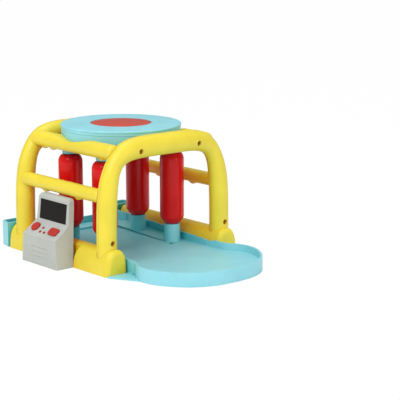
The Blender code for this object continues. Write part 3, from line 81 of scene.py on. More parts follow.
# Rollers and their pillars
ROLLER_X = 0.0559
ROLLER_Y = 0.0364
ROLLER_RADIUS = 0.016
ROLLER_BOTTOM = 0.0335
ROLLER_TOP = 0.1300
FOOT_SHOULDER_WIDTH = 0.0075
FOOT_SHOULDER_HEIGHT = 0.0100
FOOT_FULLNESS = 1.4  # exponent of the foot shoulder's curve, 2 being an ellipse
TOP_SHOULDER_WIDTH = 0.0072
TOP_SHOULDER_HEIGHT = 0.0105
AXLE_RADIUS = 0.0025
ROLLER_PLACES = tuple(
    (f"{end}_{hand}", across * ROLLER_X, along * ROLLER_Y) for end, along in ENDS for hand, across in HANDS
)
PILLAR_RADIUS = 0.0105
PILLAR_EDGE_ROUND = 0.0006
PILLAR_FILLET = 0.0006
UPPER_BOSS_GAP = 0.0012

# Arches
ARCH_Y = 0.0882
ARCH_HALF_SPAN = 0.093
ARCH_HEIGHT = 0.153
ARCH_TUBE_RADIUS = 0.0127
ARCH_CROWN_SWELL = 0.0012
ARCH_CROWN_POWER = 8
ARCH_CORNER_THINNING = 0.0018
ARCH_CORNER_POWER = 4
ARCH_SQUARENESS = 5
ARCH_STEPS = 80
ARCH_ROUND_STEPS = 14
ARCH_SEAM = 0.00022  # half the open line between two half shells
LEG_FOOT = 0.006
LOW_SCREW_Z = 0.0397
HIGH_SCREW_X = 0.0475
HIGH_SCREW_DROP = 0.0025
ARCH_SCREW_SINK = 0.0025

# Screws
HEAD_RADIUS = 0.0029
HEAD_HEIGHT = 0.0018
HEAD_CLEARANCE = 0.0005
LANE_HEAD_RADIUS = 0.0024
HEAD_SIDES = 40
HEAD_DOME_SHARE = 0.25  # of the head's height
HEAD_DOME_SHARES = ((0.45, 0.12), (0.75, 0.45))  # shares of the radius and of the dome's height
HEAD_EDGE_SHARE = 0.2  # of the head's height
NECK_SHARE = 0.48  # of the head's radius
CROSS_LENGTH_SHARE = 0.55
CROSS_WIDTH_SHARE = 0.11
CROSS_DEPTH_SHARE = 0.55  # of the head's height
CROSS_TURN = radians(20)

# Side beams
BEAM_OUTER = BEAM_HIGH.x
BEAM_INNER = 0.0762
BEAM_CREST = 0.0305
BEAM_OUTER_SQUARENESS = 2.5
BEAM_INNER_SQUARENESS = 3
TOE_FRONT = BEAM_HIGH.y
TOE_LENGTH = 0.0225
TOE_INNER = 0.0755
TOE_CREST = 0.0320
TOE_END_ROUND = 0.0065
TOE_EASE = 0.012  # how far behind its end a toe starts to run out into the beam
BEAM_ARC_STEPS = 48
BEAM_SOLID_END = 0.036
NICHE_HALF_WIDTH = 0.0385
NICHE_FLARE = 0.010
NICHE_DEPTH = 0.0084
NICHE_SIDE_SHARES = (  # shares of the flare and of the toes' crest
    (0.0, 0.25), (0.03, 0.34), (0.1, 0.46), (0.2, 0.58), (0.35, 0.71), (0.55, 0.83), (0.78, 0.93), (1.0, 1.0),
)

# Base tray
TRAY_RIM = 0.018
TRAY_FLOOR = 0.0088
TRAY_WALL = 0.0026
TRAY_FLOOR_THICKNESS = 0.0024
APRON_HALF_WIDTH = 0.088
APRON_REACH = 0.2245
APRON_OUTLINE_SHARES = (  # shares of its half width and of its depth, from the neck to the front
    (0.875, 0.117), (0.966, 0.25), (1.0, 0.383), (0.955, 0.55), (0.83, 0.717),
    (0.682, 0.842), (0.489, 0.933), (0.273, 0.983), (0.0, 1.0),
)
APRON_NECK_SHARE = 0.02
CORNER_FLANGE_THICKNESS = 0.0022
CORNER_FLANGE_X = 0.0898
CORNER_FLANGE_Y = 0.1446
REAR_END = 0.130
REAR_HALF_WIDTH = 0.1045
REAR_CORNER_RADIUS = 0.005
FLANK_HEIGHT = 0.0325
FLANK_INNER = 0.082
REAR_LOW_HALF_WIDTH = 0.055
SIDE_TOP_MID = 0.0202
SIDE_TOP_SLOPE_SHARE = 0.05
BED_FRONT = 0.054
BED_REAR = 0.0995
BED_FRONT_TOP = 0.0086
BED_REAR_TOP = 0.0125
BED_THICKNESS = 0.0046
LANE_HALF_WIDTH = 0.050
LANE_THICKNESS = 0.0020
LANE_GROOVE = 0.0011
LANE_TRENCH_DEPTH = 0.0040  # of the groove at the panel's sides
BAND_FRONT = 0.036  # where the side bands start, in front of the dial's axis
BAND_START = 0.0007  # height of their front end above the panel
BAND_RISE = 0.0020  # of their rear end above the front one
BAND_EDGE = 0.0446  # the half width of the lane between them
BAND_LIP = 0.0003  # thickness of their edge over the hollow below it
BAND_UNDERCUT = 0.003
CROSS_BAND_Y = 0.0885  # front edge of the band behind the lane
CROSS_BAND_UNDERCUT = 0.0075
FLOOR_FILLET = 0.0012  # where the walls meet the floor
POCKET_LENGTH = 0.010  # of the pockets in the side walls, beside the pillars
POCKET_HEIGHT = 0.007
POCKET_DEPTH = 0.0021
POCKET_LIFT = 0.0012  # above the bed
POCKET_BACKSET = 0.0015  # in front of the pillar's axis
TOE_END = TOE_FRONT - TOE_LENGTH
NECK_SIDE = TOE_INNER - GAP
BAY_SIDE = BEAM_INNER - GAP
BAY_REAR = TOE_END - TRAY_WALL
LANE_RECESS_ENDS = (BED_FRONT - WALL, BED_REAR - WALL)
WALL_FACE = BAY_SIDE - TRAY_WALL
CONSOLE_SEAT_X = BEAM_OUTER - NICHE_DEPTH

# Rails
RAIL_SIDES = 64
MID_RAIL_X = 0.095
MID_RAIL_RADIUS = 0.0088
MID_RAIL_EDGE_ROUND = 0.003
MID_RAIL_HALF_LENGTH = 0.082
LEFT_RAIL_Z = 0.0962
RIGHT_RAIL_Z = 0.0925
LUG_Y = 0.035
LUG_RADIUS = 0.0110
LUG_THICKNESS = 0.006
LUG_EDGE_ROUND = 0.0008
TOP_RAIL_X = 0.0765
TOP_RAIL_Z = 0.1485
TOP_RAIL_RADIUS = 0.0100
TOP_RAIL_EDGE_ROUND = 0.0055
TOP_RAIL_HALF_LENGTH = 0.086
TOP_RAIL_CREST = TOP_RAIL_Z + TOP_RAIL_RADIUS
SCALLOP_HALF_LENGTH = 0.045
SCALLOP_DEPTH = 0.0055
SCALLOP_STEPS = 24
SCALLOP_EDGE_ROUND = 0.0018
SCALLOP_EDGE_ANGLE = radians(28)
ROOF_LUG_X = 0.0715
ROOF_LUG_Z = 0.1437
ROOF_LUG_RADIUS = 0.009
ROOF_LUG_THICKNESS = 0.004
ROOF_LUG_INNER_Y = 0.052
ROOF_LUG_OUTER_Y = 0.070

# Roof
GEARBOX_RADIUS = 0.071
GEARBOX_HALF_X = 0.0664
GEARBOX_LOBE_RADIUS = 0.0117
GEARBOX_BOTTOM = 0.1366
GEARBOX_TOP = 0.1432
GEARBOX_FLOOR_THICKNESS = 0.0019
GEARBOX_WALL = 0.0015
LID_BOTTOM = GEARBOX_TOP + GAP
LID_TOP = LID_BOTTOM + 0.0022
BOWL_RADIUS = 0.0780
BOWL_RIM_Z = 0.1632
BOWL_BEND_Z = 0.1535
BOWL_FOOT_RADIUS = 0.0655
BOWL_WALL = 0.0022
BOWL_EDGE_ANGLE = radians(50)
SPINDLE_TUBE_RADIUS = 0.0083
SPINDLE_TUBE_TOP = 0.158

# Dial
DIAL_RADIUS = DIAL_HIGH.x
DIAL_TOP = 0.1696
DIAL_BOTTOM = 0.1635
DIAL_PLATE = 0.0034
DIAL_EDGE_ROUND = 0.0014
DIAL_RIM_HEIGHT = 0.0027
DIAL_SIDE_STEP = 0.0006  # how far the side lies inside the rim
SPINDLE_RADIUS = 0.008
INSET_RADIUS = 0.0397
INSET_RING_WIDTH = 0.0018
INSET_RING_HEIGHT = 0.0005

# Console
CONSOLE_FRONT = 0.1335
CONSOLE_BACK_FOOT = 0.1078
CONSOLE_BACK_TOP = 0.1010
CONSOLE_HEIGHT = 0.0868
CONSOLE_HALF_WIDTH = 0.038
CONSOLE_DECK_HALF_WIDTH = 0.0345
CONSOLE_TOP_HALF_WIDTH = 0.033
CONSOLE_WALL = 0.0022
CONSOLE_EDGE_ROUND = 0.0034
CONSOLE_EDGE_ANGLE = radians(20)
CONSOLE_TOP_CORNER = 0.0055
CONSOLE_TOP_STEPS = 12
DECK_FRONT_Z = 0.0365
DECK_RISE_SHARE = 0.74
DECK_BACK_Z = 0.0478
TOWER_FRONT_X = 0.1120
TOWER_FOOT_Z = 0.0535
TOWER_TOP_X = 0.1090
TOWER_SHOULDER_Z = 0.0825
SCREEN_WIDTH = 0.0566
SCREEN_HEIGHT = 0.0253
SCREEN_BOTTOM = 0.0540
SCREEN_THICKNESS = 0.0008
SCREEN_SINK = 0.0003
SCREEN_CORNER = 0.0010
SCREEN_EDGE_ROUND = 0.0002
BACK_PLATE_THICKNESS = 0.0020
SCREEN_MIDDLE = SCREEN_BOTTOM + SCREEN_HEIGHT / 2
SCREEN_DEPTH = SCREEN_SINK + SCREEN_THICKNESS
TOWER_SCREW_Y = 0.024
GROOVE_HEIGHTS = (0.0105, 0.0165, 0.0225)
GROOVE_HALF_WIDTH = 0.017
GROOVE_WIDTH = 0.0010
GROOVE_DEPTH = 0.0004

# Buttons
ROUND_BUTTON = (0.1223, 0.0215)
ROUND_BUTTON_RADIUS = 0.0065
WIDE_BUTTON = (0.1231, -0.0185)
WIDE_BUTTON_HALF_DEPTH = 0.0055
WIDE_BUTTON_HALF_WIDTH = 0.0085
WIDE_BUTTON_CORNER = 0.0028
BUTTON_RISE = 0.0026
BUTTON_EDGE_ROUND = 0.0009
PAD_RADIUS = 0.0016
PAD_RISE = 0.0012
PAD_PLACES = {
    "pad_front_left": (0.1267, 0.0064),
    "pad_rear_left": (0.1213, 0.0064),
    "pad_front_right": (0.1267, -0.0022),
}

# Finishes, with linear colours and what differs from plain moulded plastic
METALLIC = dict(metallic=1.0, grain=0.15, mottle=0.18)
FINISHES = {
    "sky_blue_plastic": dict(
        colour=(0.275, 0.655, 0.735), roughness=0.40, shade=(0.04, 0.50, 0.58), shine=0.45,
    ),
    "yellow_plastic": dict(colour=(0.80, 0.65, 0.035), shade=(0.95, 0.46, 0.004), shine=0.6),
    "red_plastic": dict(colour=(0.72, 0.006, 0.008), roughness=0.2, coat=0.1, grain=0.01, shine=0.2),
    "inset_red": dict(colour=(0.55, 0.06, 0.032)),
    "button_red": dict(colour=(0.47, 0.029, 0.018), roughness=0.4),
    "grey_plastic": dict(colour=(0.455, 0.475, 0.445)),
    "screen_film": dict(colour=(0.006, 0.005, 0.004), roughness=0.3, grain=0.01, shine=0.12),
    "white_gear_plastic": dict(colour=(0.78, 0.78, 0.75), roughness=0.45),
    "screw_steel": dict(colour=(0.42, 0.29, 0.12), roughness=0.38, **METALLIC),
    "lane_screw_steel": dict(colour=(0.30, 0.42, 0.43), **METALLIC),
}
WHITE = (1, 1, 1, 1)
FLOOR_PALE = (0.84, 0.84, 0.84, 1)

# Textures: the scale and the detail of each noise
TONE_NOISE = (28, 3)
SKIN_NOISE = (1500, 2)
GLOSS_NOISE = (90, 4)
TONE_LOW = 0.3  # the noise's values at which the tone is darkest and lightest
TONE_HIGH = 0.7
SKIN_DEPTH = 0.0004
GLOSS_BELOW = 0.06
GLOSS_ABOVE = 0.07
LEAST_ROUGHNESS = 0.05
PLASTIC_IOR = 1.49
COAT_ROUGHNESS = 0.1
SHADE_DISTANCE = 0.2  # how far a surface looks for what stands over it
SHADE_FULL = 0.1  # the open share of its view at which the shade colour has taken over
SHADE_NONE = 0.42  # and at which none of it is left

# View and light
CAMERA_PLACE = (-1.1051, -1.4193, 0.4414)
CAMERA_YAW = 0.719
CAMERA_PITCH = 0.206
CAMERA_LENS = 125.0
SENSOR_WIDTH = 36.0
FLOOR_HALF_SIZE = 6.0
FLOOR_GLOW_SHARE = 0.975  # of the floor's white that the camera sees, so that it stays white
WORLD_LIGHT = 0.74
WORLD_GLOSS = 0.30  # the room as gloss reflects it
LAMP_TARGET = (0, 0, 0.08)
LAMPS = (  # name, place, width, height and watts
    ("key", (-1.5, -0.65, 1.7), 1.0, 1.0, 21.0),
    ("front", (-0.5, -1.9, 0.9), 1.0, 1.0, 1.0),
    ("strip", (0.16, -1.5, 0.35), 0.12, 1.0, 2.2),
    ("top", (0.1, 0.3, 2.0), 1.3, 1.3, 9.0),
)


# Materials

def feed(tree, node, *values, **named):
    """Gives a node's inputs, in order or by name, numbers, colours or the outputs of other nodes."""
    sockets = [node.inputs[name.replace("_", " ")] for name in named]
    for socket, value in zip([*node.inputs[:len(values)], *sockets], [*values, *named.values()]):
        if isinstance(value, bpy.types.NodeSocket):
            tree.links.new(value, socket)
        else:
            socket.default_value = value
    return node


def add_node(tree, kind, *values, **named):
    return feed(tree, tree.nodes.new(kind), *values, **named)


def noise(tree, place, scale, detail):
    return add_node(tree, "ShaderNodeTexNoise", Vector=place, Scale=scale, Detail=detail).outputs["Fac"]


def blended(tree, share, least, most):
    """A value between two others, by a share from 0 to 1."""
    return add_node(tree, "ShaderNodeMapRange", Value=share, To_Min=least, To_Max=most).outputs["Result"]


def mottled(tree, place, colour, mottle):
    """The colour, a little darker and lighter from place to place."""
    ramp = add_node(tree, "ShaderNodeValToRGB", Fac=noise(tree, place, *TONE_NOISE))
    dark, light = ramp.color_ramp.elements
    dark.position = TONE_LOW
    light.position = TONE_HIGH
    dark.color = (*(c * (1 - mottle) for c in colour), 1)
    light.color = (*(min(1, c * (1 + mottle)) for c in colour), 1)
    return ramp.outputs["Color"]


def shaded(tree, tone, shade):
    """The tone, turning to the shade colour where other surfaces stand over the place."""
    hollow = add_node(tree, "ShaderNodeAmbientOcclusion", Distance=SHADE_DISTANCE).outputs["AO"]
    reach = add_node(tree, "ShaderNodeMapRange", Value=hollow, From_Min=SHADE_FULL, From_Max=SHADE_NONE)
    mix = add_node(tree, "ShaderNodeMixRGB", Fac=reach.outputs["Result"], Color1=(*shade, 1), Color2=tone)
    return mix.outputs["Color"]


def moulded(
    name, colour, roughness=0.42, coat=0.0, grain=0.04, mottle=0.05, shade=None, shine=0.3, metallic=0.0,
):
    """Moulded plastic: a faint mottle, a fine skin, uneven gloss and a shade colour for the hollows."""
    made = bpy.data.materials.new(name)
    made.use_nodes = True
    tree = made.node_tree
    place = add_node(tree, "ShaderNodeTexCoord").outputs["Object"]
    tone = mottled(tree, place, colour, mottle)
    rough = noise(tree, place, *SKIN_NOISE)
    skin = add_node(tree, "ShaderNodeBump", Strength=grain, Distance=SKIN_DEPTH, Height=rough)
    least = max(LEAST_ROUGHNESS, roughness - GLOSS_BELOW)
    gloss = blended(tree, noise(tree, place, *GLOSS_NOISE), least, roughness + GLOSS_ABOVE)
    feed(
        tree, tree.nodes["Principled BSDF"], Base_Color=shaded(tree, tone, shade) if shade else tone,
        Metallic=metallic, Roughness=gloss, IOR=PLASTIC_IOR, Normal=skin.outputs["Normal"],
        Specular_IOR_Level=shine, Coat_Weight=coat, Coat_Roughness=COAT_ROUGHNESS,
    )
    return made


LOOKS = {name: moulded(name, **finish) for name, finish in FINISHES.items()}


# Shape helpers

def placed(name, data):
    obj = bpy.data.objects.new(name, data)
    bpy.context.scene.collection.objects.link(obj)
    return obj


def from_bmesh(name, shape):
    mesh = bpy.data.meshes.new(name)
    shape.to_mesh(mesh)
    shape.free()
    return placed(name, mesh)


def closed(name, shape, matrix=None):
    """A closed shape with its faces turned outward, placed by a matrix."""
    bmesh.ops.recalc_face_normals(shape, faces=shape.faces)
    if matrix:
        bmesh.ops.transform(shape, matrix=matrix, verts=shape.verts)
    return from_bmesh(name, shape)


def box(name, low, high):
    low, high = Vector(low), Vector(high)
    shape = bmesh.new()
    bmesh.ops.create_cube(shape, size=1, matrix=Matrix.LocRotScale((low + high) / 2, None, high - low))
    return from_bmesh(name, shape)


def cylinder(name, radius, start, end, sides=BORE_SIDES):
    start, end = Vector(start), Vector(end)
    along = end - start
    turn = UP.rotation_difference(along).to_matrix().to_4x4()
    shape = bmesh.new()
    bmesh.ops.create_cone(
        shape, cap_ends=True, segments=sides, radius1=radius, radius2=radius, depth=along.length,
        matrix=Matrix.Translation((start + end) / 2) @ turn,
    )
    return from_bmesh(name, shape)


XZ_PLANE = Matrix(((1, 0, 0), (0, 0, -1), (0, 1, 0))).to_4x4()
YZ_PLANE = Matrix(((0, 0, 1), (1, 0, 0), (0, 1, 0))).to_4x4()
Z_TO_Y = Matrix(((1, 0, 0), (0, 0, 1), (0, -1, 0))).to_4x4()


def extruded(name, outline, low, high, plane=None):
    shape = bmesh.new()
    face = shape.faces.new([shape.verts.new((x, y, low)) for x, y in outline])
    raised = bmesh.ops.extrude_face_region(shape, geom=[face])
    corners = [part for part in raised["geom"] if isinstance(part, bmesh.types.BMVert)]
    bmesh.ops.translate(shape, vec=(0, 0, high - low), verts=corners)
    return closed(name, shape, plane)


def turned(name, profile, steps=BOWL_SIDES, ring=False, matrix=None):
    """A profile of radius and height, turned about Z and placed by a matrix. A ring's profile is closed."""
    shape = bmesh.new()
    points = [shape.verts.new((r, 0, z)) for r, z in profile]
    edges = [shape.edges.new((a, b)) for a, b in zip(points, points[1:])]
    if ring:
        edges.append(shape.edges.new((points[-1], points[0])))
    bmesh.ops.spin(
        shape, geom=points + edges, axis=UP, cent=(0, 0, 0), angle=2 * pi, steps=steps, use_merge=True,
    )
    bmesh.ops.remove_doubles(shape, verts=shape.verts, dist=MERGE_DISTANCE)
    return closed(name, shape, matrix)


def oval(centre, wide, high, start, end, steps):
    """Points along an ellipse's arc, with angles in degrees."""
    angles = [radians(start + (end - start) * i / steps) for i in range(steps + 1)]
    return [(centre[0] + wide * cos(a), centre[1] + high * sin(a)) for a in angles]


def arc(centre, radius, start, end, steps):
    return oval(centre, radius, radius, start, end, steps)


def outer_round(radius, top, edge, steps=ROUND_STEPS):
    """The round from a flat top down to a side."""
    return arc((radius - edge, top - edge), edge, 90, 0, steps)


def full_arc(turn, fullness):
    """Across and up on an arc of unit size that is fuller than an ellipse above a fullness of 2."""
    across = cos(turn)
    return copysign(abs(across) ** (2 / fullness), across), max(sin(turn), 0) ** (2 / fullness)


def rounded_rectangle(half_x, half_y, corner, steps=CORNER_STEPS):
    points = []
    for turn, (x, y) in enumerate(((1, 1), (-1, 1), (-1, -1), (1, -1))):
        centre = (x * (half_x - corner), y * (half_y - corner))
        points += arc(centre, corner, 90 * turn, 90 * turn + 90, steps)
    return points


def smooth(points, cuts):
    """Points on a smooth curve through the given ones."""
    padded = [points[0], *points, points[-1]]
    found = []
    for i in range(1, len(padded) - 2):
        a, b, c, d = (Vector(p) for p in padded[i - 1:i + 3])
        for step in range(cuts):
            t = step / cuts
            bend = (2 * a - 5 * b + 4 * c - d) * t ** 2 + (3 * b - 3 * c + d - a) * t ** 3
            found.append((2 * b + (c - a) * t + bend) / 2)
    found.append(Vector(points[-1]))
    return [tuple(p) for p in found]


def ease(share):
    """From 0 to 1 as the share does, level at both ends."""
    return (1 - cos(pi * share)) / 2


def inset(points, distance):
    """The outline, run counter-clockwise, moved inwards by one distance all round."""
    points = [Vector(point) for point in points]
    found = []
    for before, here, after in zip(points[-1:] + points, points, points[1:] + points[:1]):
        first = (here - before).normalized().orthogonal()
        second = (after - here).normalized().orthogonal()
        found.append(tuple(here + (first + second) * distance / (1 + first.dot(second))))
    return found


def mirrored(half):
    """A closed outline from its half at +X. The half's points on the middle line aren't repeated."""
    return [*half, *((-x, y) for x, y in reversed(half) if abs(x) > GAP)]


def flipped(points, sign):
    """An outline's X multiplied by a sign, still counter-clockwise."""
    if sign > 0:
        return list(points)
    return [(-x, y) for x, y in reversed(points)]


def evaluated_mesh(obj):
    bpy.context.view_layer.update()
    return bpy.data.meshes.new_from_object(obj.evaluated_get(bpy.context.evaluated_depsgraph_get()))


def apply_modifiers(obj):
    mesh = evaluated_mesh(obj)
    obj.modifiers.clear()
    obj.data = mesh


def combine(obj, operation, others):
    """Cuts an object by others, or joins them to it, and removes them."""
    for other in others:
        modifier = obj.modifiers.new(operation, "BOOLEAN")
        modifier.operation = operation
        modifier.object = other
        modifier.solver = "EXACT"
    apply_modifiers(obj)
    for other in others:
        bpy.data.objects.remove(other)
    return obj


def cut(obj, *others):
    return combine(obj, "DIFFERENCE", others)


def join(obj, *others):
    return combine(obj, "UNION", others)


def round_edges(obj, width=EDGE_ROUND, segments=2, angle=EDGE_ANGLE):
    modifier = obj.modifiers.new("Round", "BEVEL")
    modifier.width = width
    modifier.segments = segments
    modifier.limit_method = "ANGLE"
    modifier.angle_limit = angle
    modifier.harden_normals = True
    apply_modifiers(obj)
    return obj


def moved(obj, matrix):
    obj.data.transform(matrix)
    return obj


def paint(obj, look):
    obj.data.materials.clear()
    obj.data.materials.append(LOOKS[look])


def dress(obj, slot, *nodes, body="station", look=None):
    """Gives a piece its finish and its body, and hides the CAD nodes that it stands for."""
    paint(obj, look or slot)
    if not obj.data.has_custom_normals:
        obj.data.shade_smooth()
        obj.data.set_sharp_from_angle(angle=SHARP_ANGLE)
    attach(obj, body)
    if nodes:
        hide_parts(*nodes)


# Screws

def build_screw(node, head, outward, radius, look=None):
    """A domed pan head with a cross recess, on a short neck."""
    dome = HEAD_HEIGHT * HEAD_DOME_SHARE
    neck = radius * NECK_SHARE
    profile = [
        (0, 0), *((radius * out, -dome * down) for out, down in HEAD_DOME_SHARES),
        (radius, -dome - HEAD_HEIGHT * HEAD_EDGE_SHARE), (radius, -HEAD_HEIGHT),
        (neck, -HEAD_HEIGHT), (neck, -HEAD_HEIGHT * 2), (0, -HEAD_HEIGHT * 2),
    ]
    turn = UP.rotation_difference(Vector(outward)).to_matrix().to_4x4()
    matrix = Matrix.Translation(head) @ turn @ Matrix.Rotation(CROSS_TURN, 4, "Z")
    piece = turned(node + "_head", profile, HEAD_SIDES)
    arm = radius * CROSS_LENGTH_SHARE
    half = radius * CROSS_WIDTH_SHARE
    deep = HEAD_HEIGHT * CROSS_DEPTH_SHARE
    cut(piece, *(box("slot", (-x, -y, -deep), (x, y, OVERRUN)) for x, y in ((arm, half), (half, arm))))
    dress(moved(piece, matrix), "screw_steel", node, look=look)


# Arches

def arch_point(turn):
    across, up = full_arc(turn, ARCH_SQUARENESS)
    return ARCH_HALF_SPAN * across, ARCH_HEIGHT * up


def arch_radius(turn):
    """The tube's radius there: thin at the corners, thick at the crown."""
    swell = ARCH_CROWN_SWELL * sin(turn) ** ARCH_CROWN_POWER
    return ARCH_TUBE_RADIUS + swell - ARCH_CORNER_THINNING * sin(2 * turn) ** ARCH_CORNER_POWER


def arch_tube(name, y, grow, foot):
    """A solid bent tube along an arch's centreline, grown by a distance, down to a foot height."""
    start = asin((foot / ARCH_HEIGHT) ** (ARCH_SQUARENESS / 2))
    curve = bpy.data.curves.new(name, "CURVE")
    curve.dimensions = "3D"
    curve.bevel_depth = ARCH_TUBE_RADIUS
    curve.bevel_resolution = ARCH_ROUND_STEPS
    curve.use_fill_caps = True
    spline = curve.splines.new("POLY")
    spline.points.add(ARCH_STEPS)
    for i, point in enumerate(spline.points):
        turn = start + (pi - 2 * start) * i / ARCH_STEPS
        x, z = arch_point(turn)
        point.co = (x, y, z, 1)
        point.radius = (arch_radius(turn) + grow) / ARCH_TUBE_RADIUS
    rope = placed(name, curve)
    shape = bmesh.new()
    shape.from_mesh(evaluated_mesh(rope))
    bpy.data.objects.remove(rope)
    bmesh.ops.remove_doubles(shape, verts=shape.verts, dist=MERGE_DISTANCE)
    return closed(name, shape)


def arch_rooms():
    return [arch_tube("arch_room", side * ARCH_Y, GAP, LEG_FOOT - GAP) for side in (-1, 1)]


def arch_screw_places():
    """Name, place across and up, and the tube's radius there."""
    power = ARCH_SQUARENESS / 2
    low = asin((LOW_SCREW_Z / ARCH_HEIGHT) ** power)
    high = acos((HIGH_SCREW_X / ARCH_HALF_SPAN) ** power)
    places = []
    for level, turn, drop in (("low", low, 0), ("high", high, HIGH_SCREW_DROP)):
        x, z = arch_point(turn)
        for hand, sign in HANDS:
            places.append((f"{level}_{hand}", sign * x, z - drop, arch_radius(turn)))
    return places


def build_arch(end, side):
    """Both half shells of one arch, and their screws."""
    y = side * ARCH_Y
    reach, top = 2 * ARCH_HALF_SPAN, 2 * ARCH_HEIGHT
    for half, away in (("outer", side), ("inner", -side)):
        shell = arch_tube(f"{end}_arch_{half}_shell", y, 0, LEG_FOOT)
        near, far = sorted((y + away * ARCH_SEAM, y - away * ARCH_TUBE_RADIUS * 2))
        cutters = [box("seam", (-reach, near, -top), (reach, far, top))]
        if half == "inner":
            cutters.append(bowl_room())
        else:
            cutters += (
                cylinder(
                    "bore", HEAD_RADIUS + HEAD_CLEARANCE, (x, y + side * (radius + OVERRUN), z),
                    (x, y + side * (radius - ARCH_SCREW_SINK - HEAD_HEIGHT - GAP), z),
                )
                for name, x, z, radius in arch_screw_places()
            )
        cut(shell, *cutters)
        round_edges(shell, FINE_EDGE_ROUND)
        dress(shell, "yellow_plastic", f"{end}_arch_{half}")
    for name, x, z, radius in arch_screw_places():
        head = Vector((x, y + side * (radius - ARCH_SCREW_SINK), z))
        build_screw(f"{end}_arch_screw_{name}", head, (0, side, 0), HEAD_RADIUS)


# Side beams

def beam_section(inner, crest, margin=0, low=0):
    """A round-topped upright section in X and Z, moved inwards by a margin, down to a low level."""
    middle = (BEAM_OUTER + inner) / 2
    wide = (BEAM_OUTER - inner) / 2 - margin
    high = crest - margin
    points = [(middle - wide, low), (middle + wide, low)] if low else []
    for i in range(BEAM_ARC_STEPS + 1):
        turn = pi * i / BEAM_ARC_STEPS
        across, up = full_arc(turn, BEAM_OUTER_SQUARENESS if turn <= pi / 2 else BEAM_INNER_SQUARENESS)
        points.append((middle + wide * across, high * up))
    return points


def niche_outline():
    side = [(NICHE_HALF_WIDTH + NICHE_FLARE * out, TOE_CREST * up) for out, up in NICHE_SIDE_SHARES]
    top = (NICHE_HALF_WIDTH + NICHE_FLARE, TOE_CREST + OVERRUN)
    return mirrored([(NICHE_HALF_WIDTH, -OVERRUN), *side, top])


def beam_stations():
    """Places along a beam, from front to rear: Y, the share of toe in the section, and the margin there."""
    half = [(0, 0, 0)]
    for step in range(ROUND_STEPS + 1):
        share = step / ROUND_STEPS
        half.append((TOE_END + TOE_EASE * (share - 1 / 2), ease(share), 0))
    for step in range(CORNER_STEPS + 1):
        turn = pi / 2 * step / CORNER_STEPS
        y = TOE_FRONT - TOE_END_ROUND * (1 - sin(turn))
        half.append((y, 1, TOE_END_ROUND * (1 - cos(turn))))
    return [(-y, toe, margin) for y, toe, margin in reversed(half[1:])] + half


def beam_solid(name, sign):
    """The beam and its two toes as one smooth run of sections."""
    shape = bmesh.new()
    rings = []
    for y, toe, margin in beam_stations():
        inner = BEAM_INNER + (TOE_INNER - BEAM_INNER) * toe
        crest = BEAM_CREST + (TOE_CREST - BEAM_CREST) * toe
        section = flipped(beam_section(inner, crest, margin), sign)
        rings.append([shape.verts.new((x, y, z)) for x, z in section])
    for one, two in zip(rings, rings[1:]):
        for i in range(len(one)):
            shape.faces.new((one[i - 1], one[i], two[i], two[i - 1]))
    shape.faces.new(rings[0])
    shape.faces.new(rings[-1])
    return closed(name, shape)


def build_beam(hand, sign):
    beam = beam_solid(f"{hand}_side_beam", sign)
    room = flipped(beam_section(BEAM_INNER, BEAM_CREST, WALL, -OVERRUN), sign)
    if sign < 0:
        seat = CONSOLE_SEAT_X - WALL
        room = [(max(x, -seat), z) for x, z in room]
    end = TOE_FRONT - BEAM_SOLID_END
    cut(beam, extruded("hollow", room, -end, end, XZ_PLANE))
    if sign < 0:
        cut(beam, extruded("niche", niche_outline(), -BEAM_OUTER - OVERRUN, -CONSOLE_SEAT_X, YZ_PLANE))
    cut(beam, *arch_rooms())
    round_edges(beam)
    dress(beam, "yellow_plastic", f"{hand}_lower_beam")


# Base tray

def apron_half():
    depth = APRON_REACH - TOE_FRONT
    shares = smooth([(NECK_SIDE / APRON_HALF_WIDTH, APRON_NECK_SHARE), *APRON_OUTLINE_SHARES], ROUND_STEPS)
    return [(APRON_HALF_WIDTH * x, -TOE_FRONT - depth * y) for x, y in shares]


def tray_half():
    """The tray's right half in plan, from the front of the middle line round to the rear."""
    corner = (REAR_HALF_WIDTH - REAR_CORNER_RADIUS, REAR_END - REAR_CORNER_RADIUS)
    return [
        *reversed(apron_half()),
        (NECK_SIDE, -TOE_END + GAP), (BAY_SIDE, -TOE_END + GAP), (BAY_SIDE, TOE_END - GAP),
        (NECK_SIDE, TOE_END - GAP), (NECK_SIDE, TOE_FRONT + GAP), (BEAM_OUTER, TOE_FRONT + GAP),
        *arc(corner, REAR_CORNER_RADIUS, 0, 90, CORNER_STEPS),
    ]


def side_top(y):
    return SIDE_TOP_MID + SIDE_TOP_SLOPE_SHARE * y


def bed_top(y):
    rise = (BED_REAR_TOP - BED_FRONT_TOP) / (BED_REAR + BED_FRONT)
    return BED_FRONT_TOP + rise * (y + BED_FRONT)


def wedge(name, ends, sides, low, high):
    """A block between ends in Y and sides in X, from a low to a high level that are functions of Y."""
    outline = [*((y, low(y)) for y in ends), *((y, high(y)) for y in reversed(ends))]
    return extruded(name, outline, *sorted(sides), YZ_PLANE)


def bed_prism(name, half_width, drop_top, drop_bottom, front, rear):
    """A slab across the bay that follows the sloping bed, between two depths below its top."""
    return wedge(
        name, (-front, rear), (-half_width, half_width),
        lambda y: bed_top(y) - drop_bottom, lambda y: bed_top(y) - drop_top,
    )


def rear_dip():
    """A cutter's outline in X and Z: the rear wall's low middle and the rises to its flanks."""
    above = FLANK_HEIGHT + OVERRUN
    shares = [step / WAVE_STEPS for step in range(WAVE_STEPS + 1)]
    wide, high = FLANK_INNER - REAR_LOW_HALF_WIDTH, FLANK_HEIGHT - TRAY_RIM
    rise = [(REAR_LOW_HALF_WIDTH + wide * share, TRAY_RIM + high * ease(share)) for share in shares]
    return [*flipped(rise, -1), *rise, (FLANK_INNER, above), (-FLANK_INNER, above)]


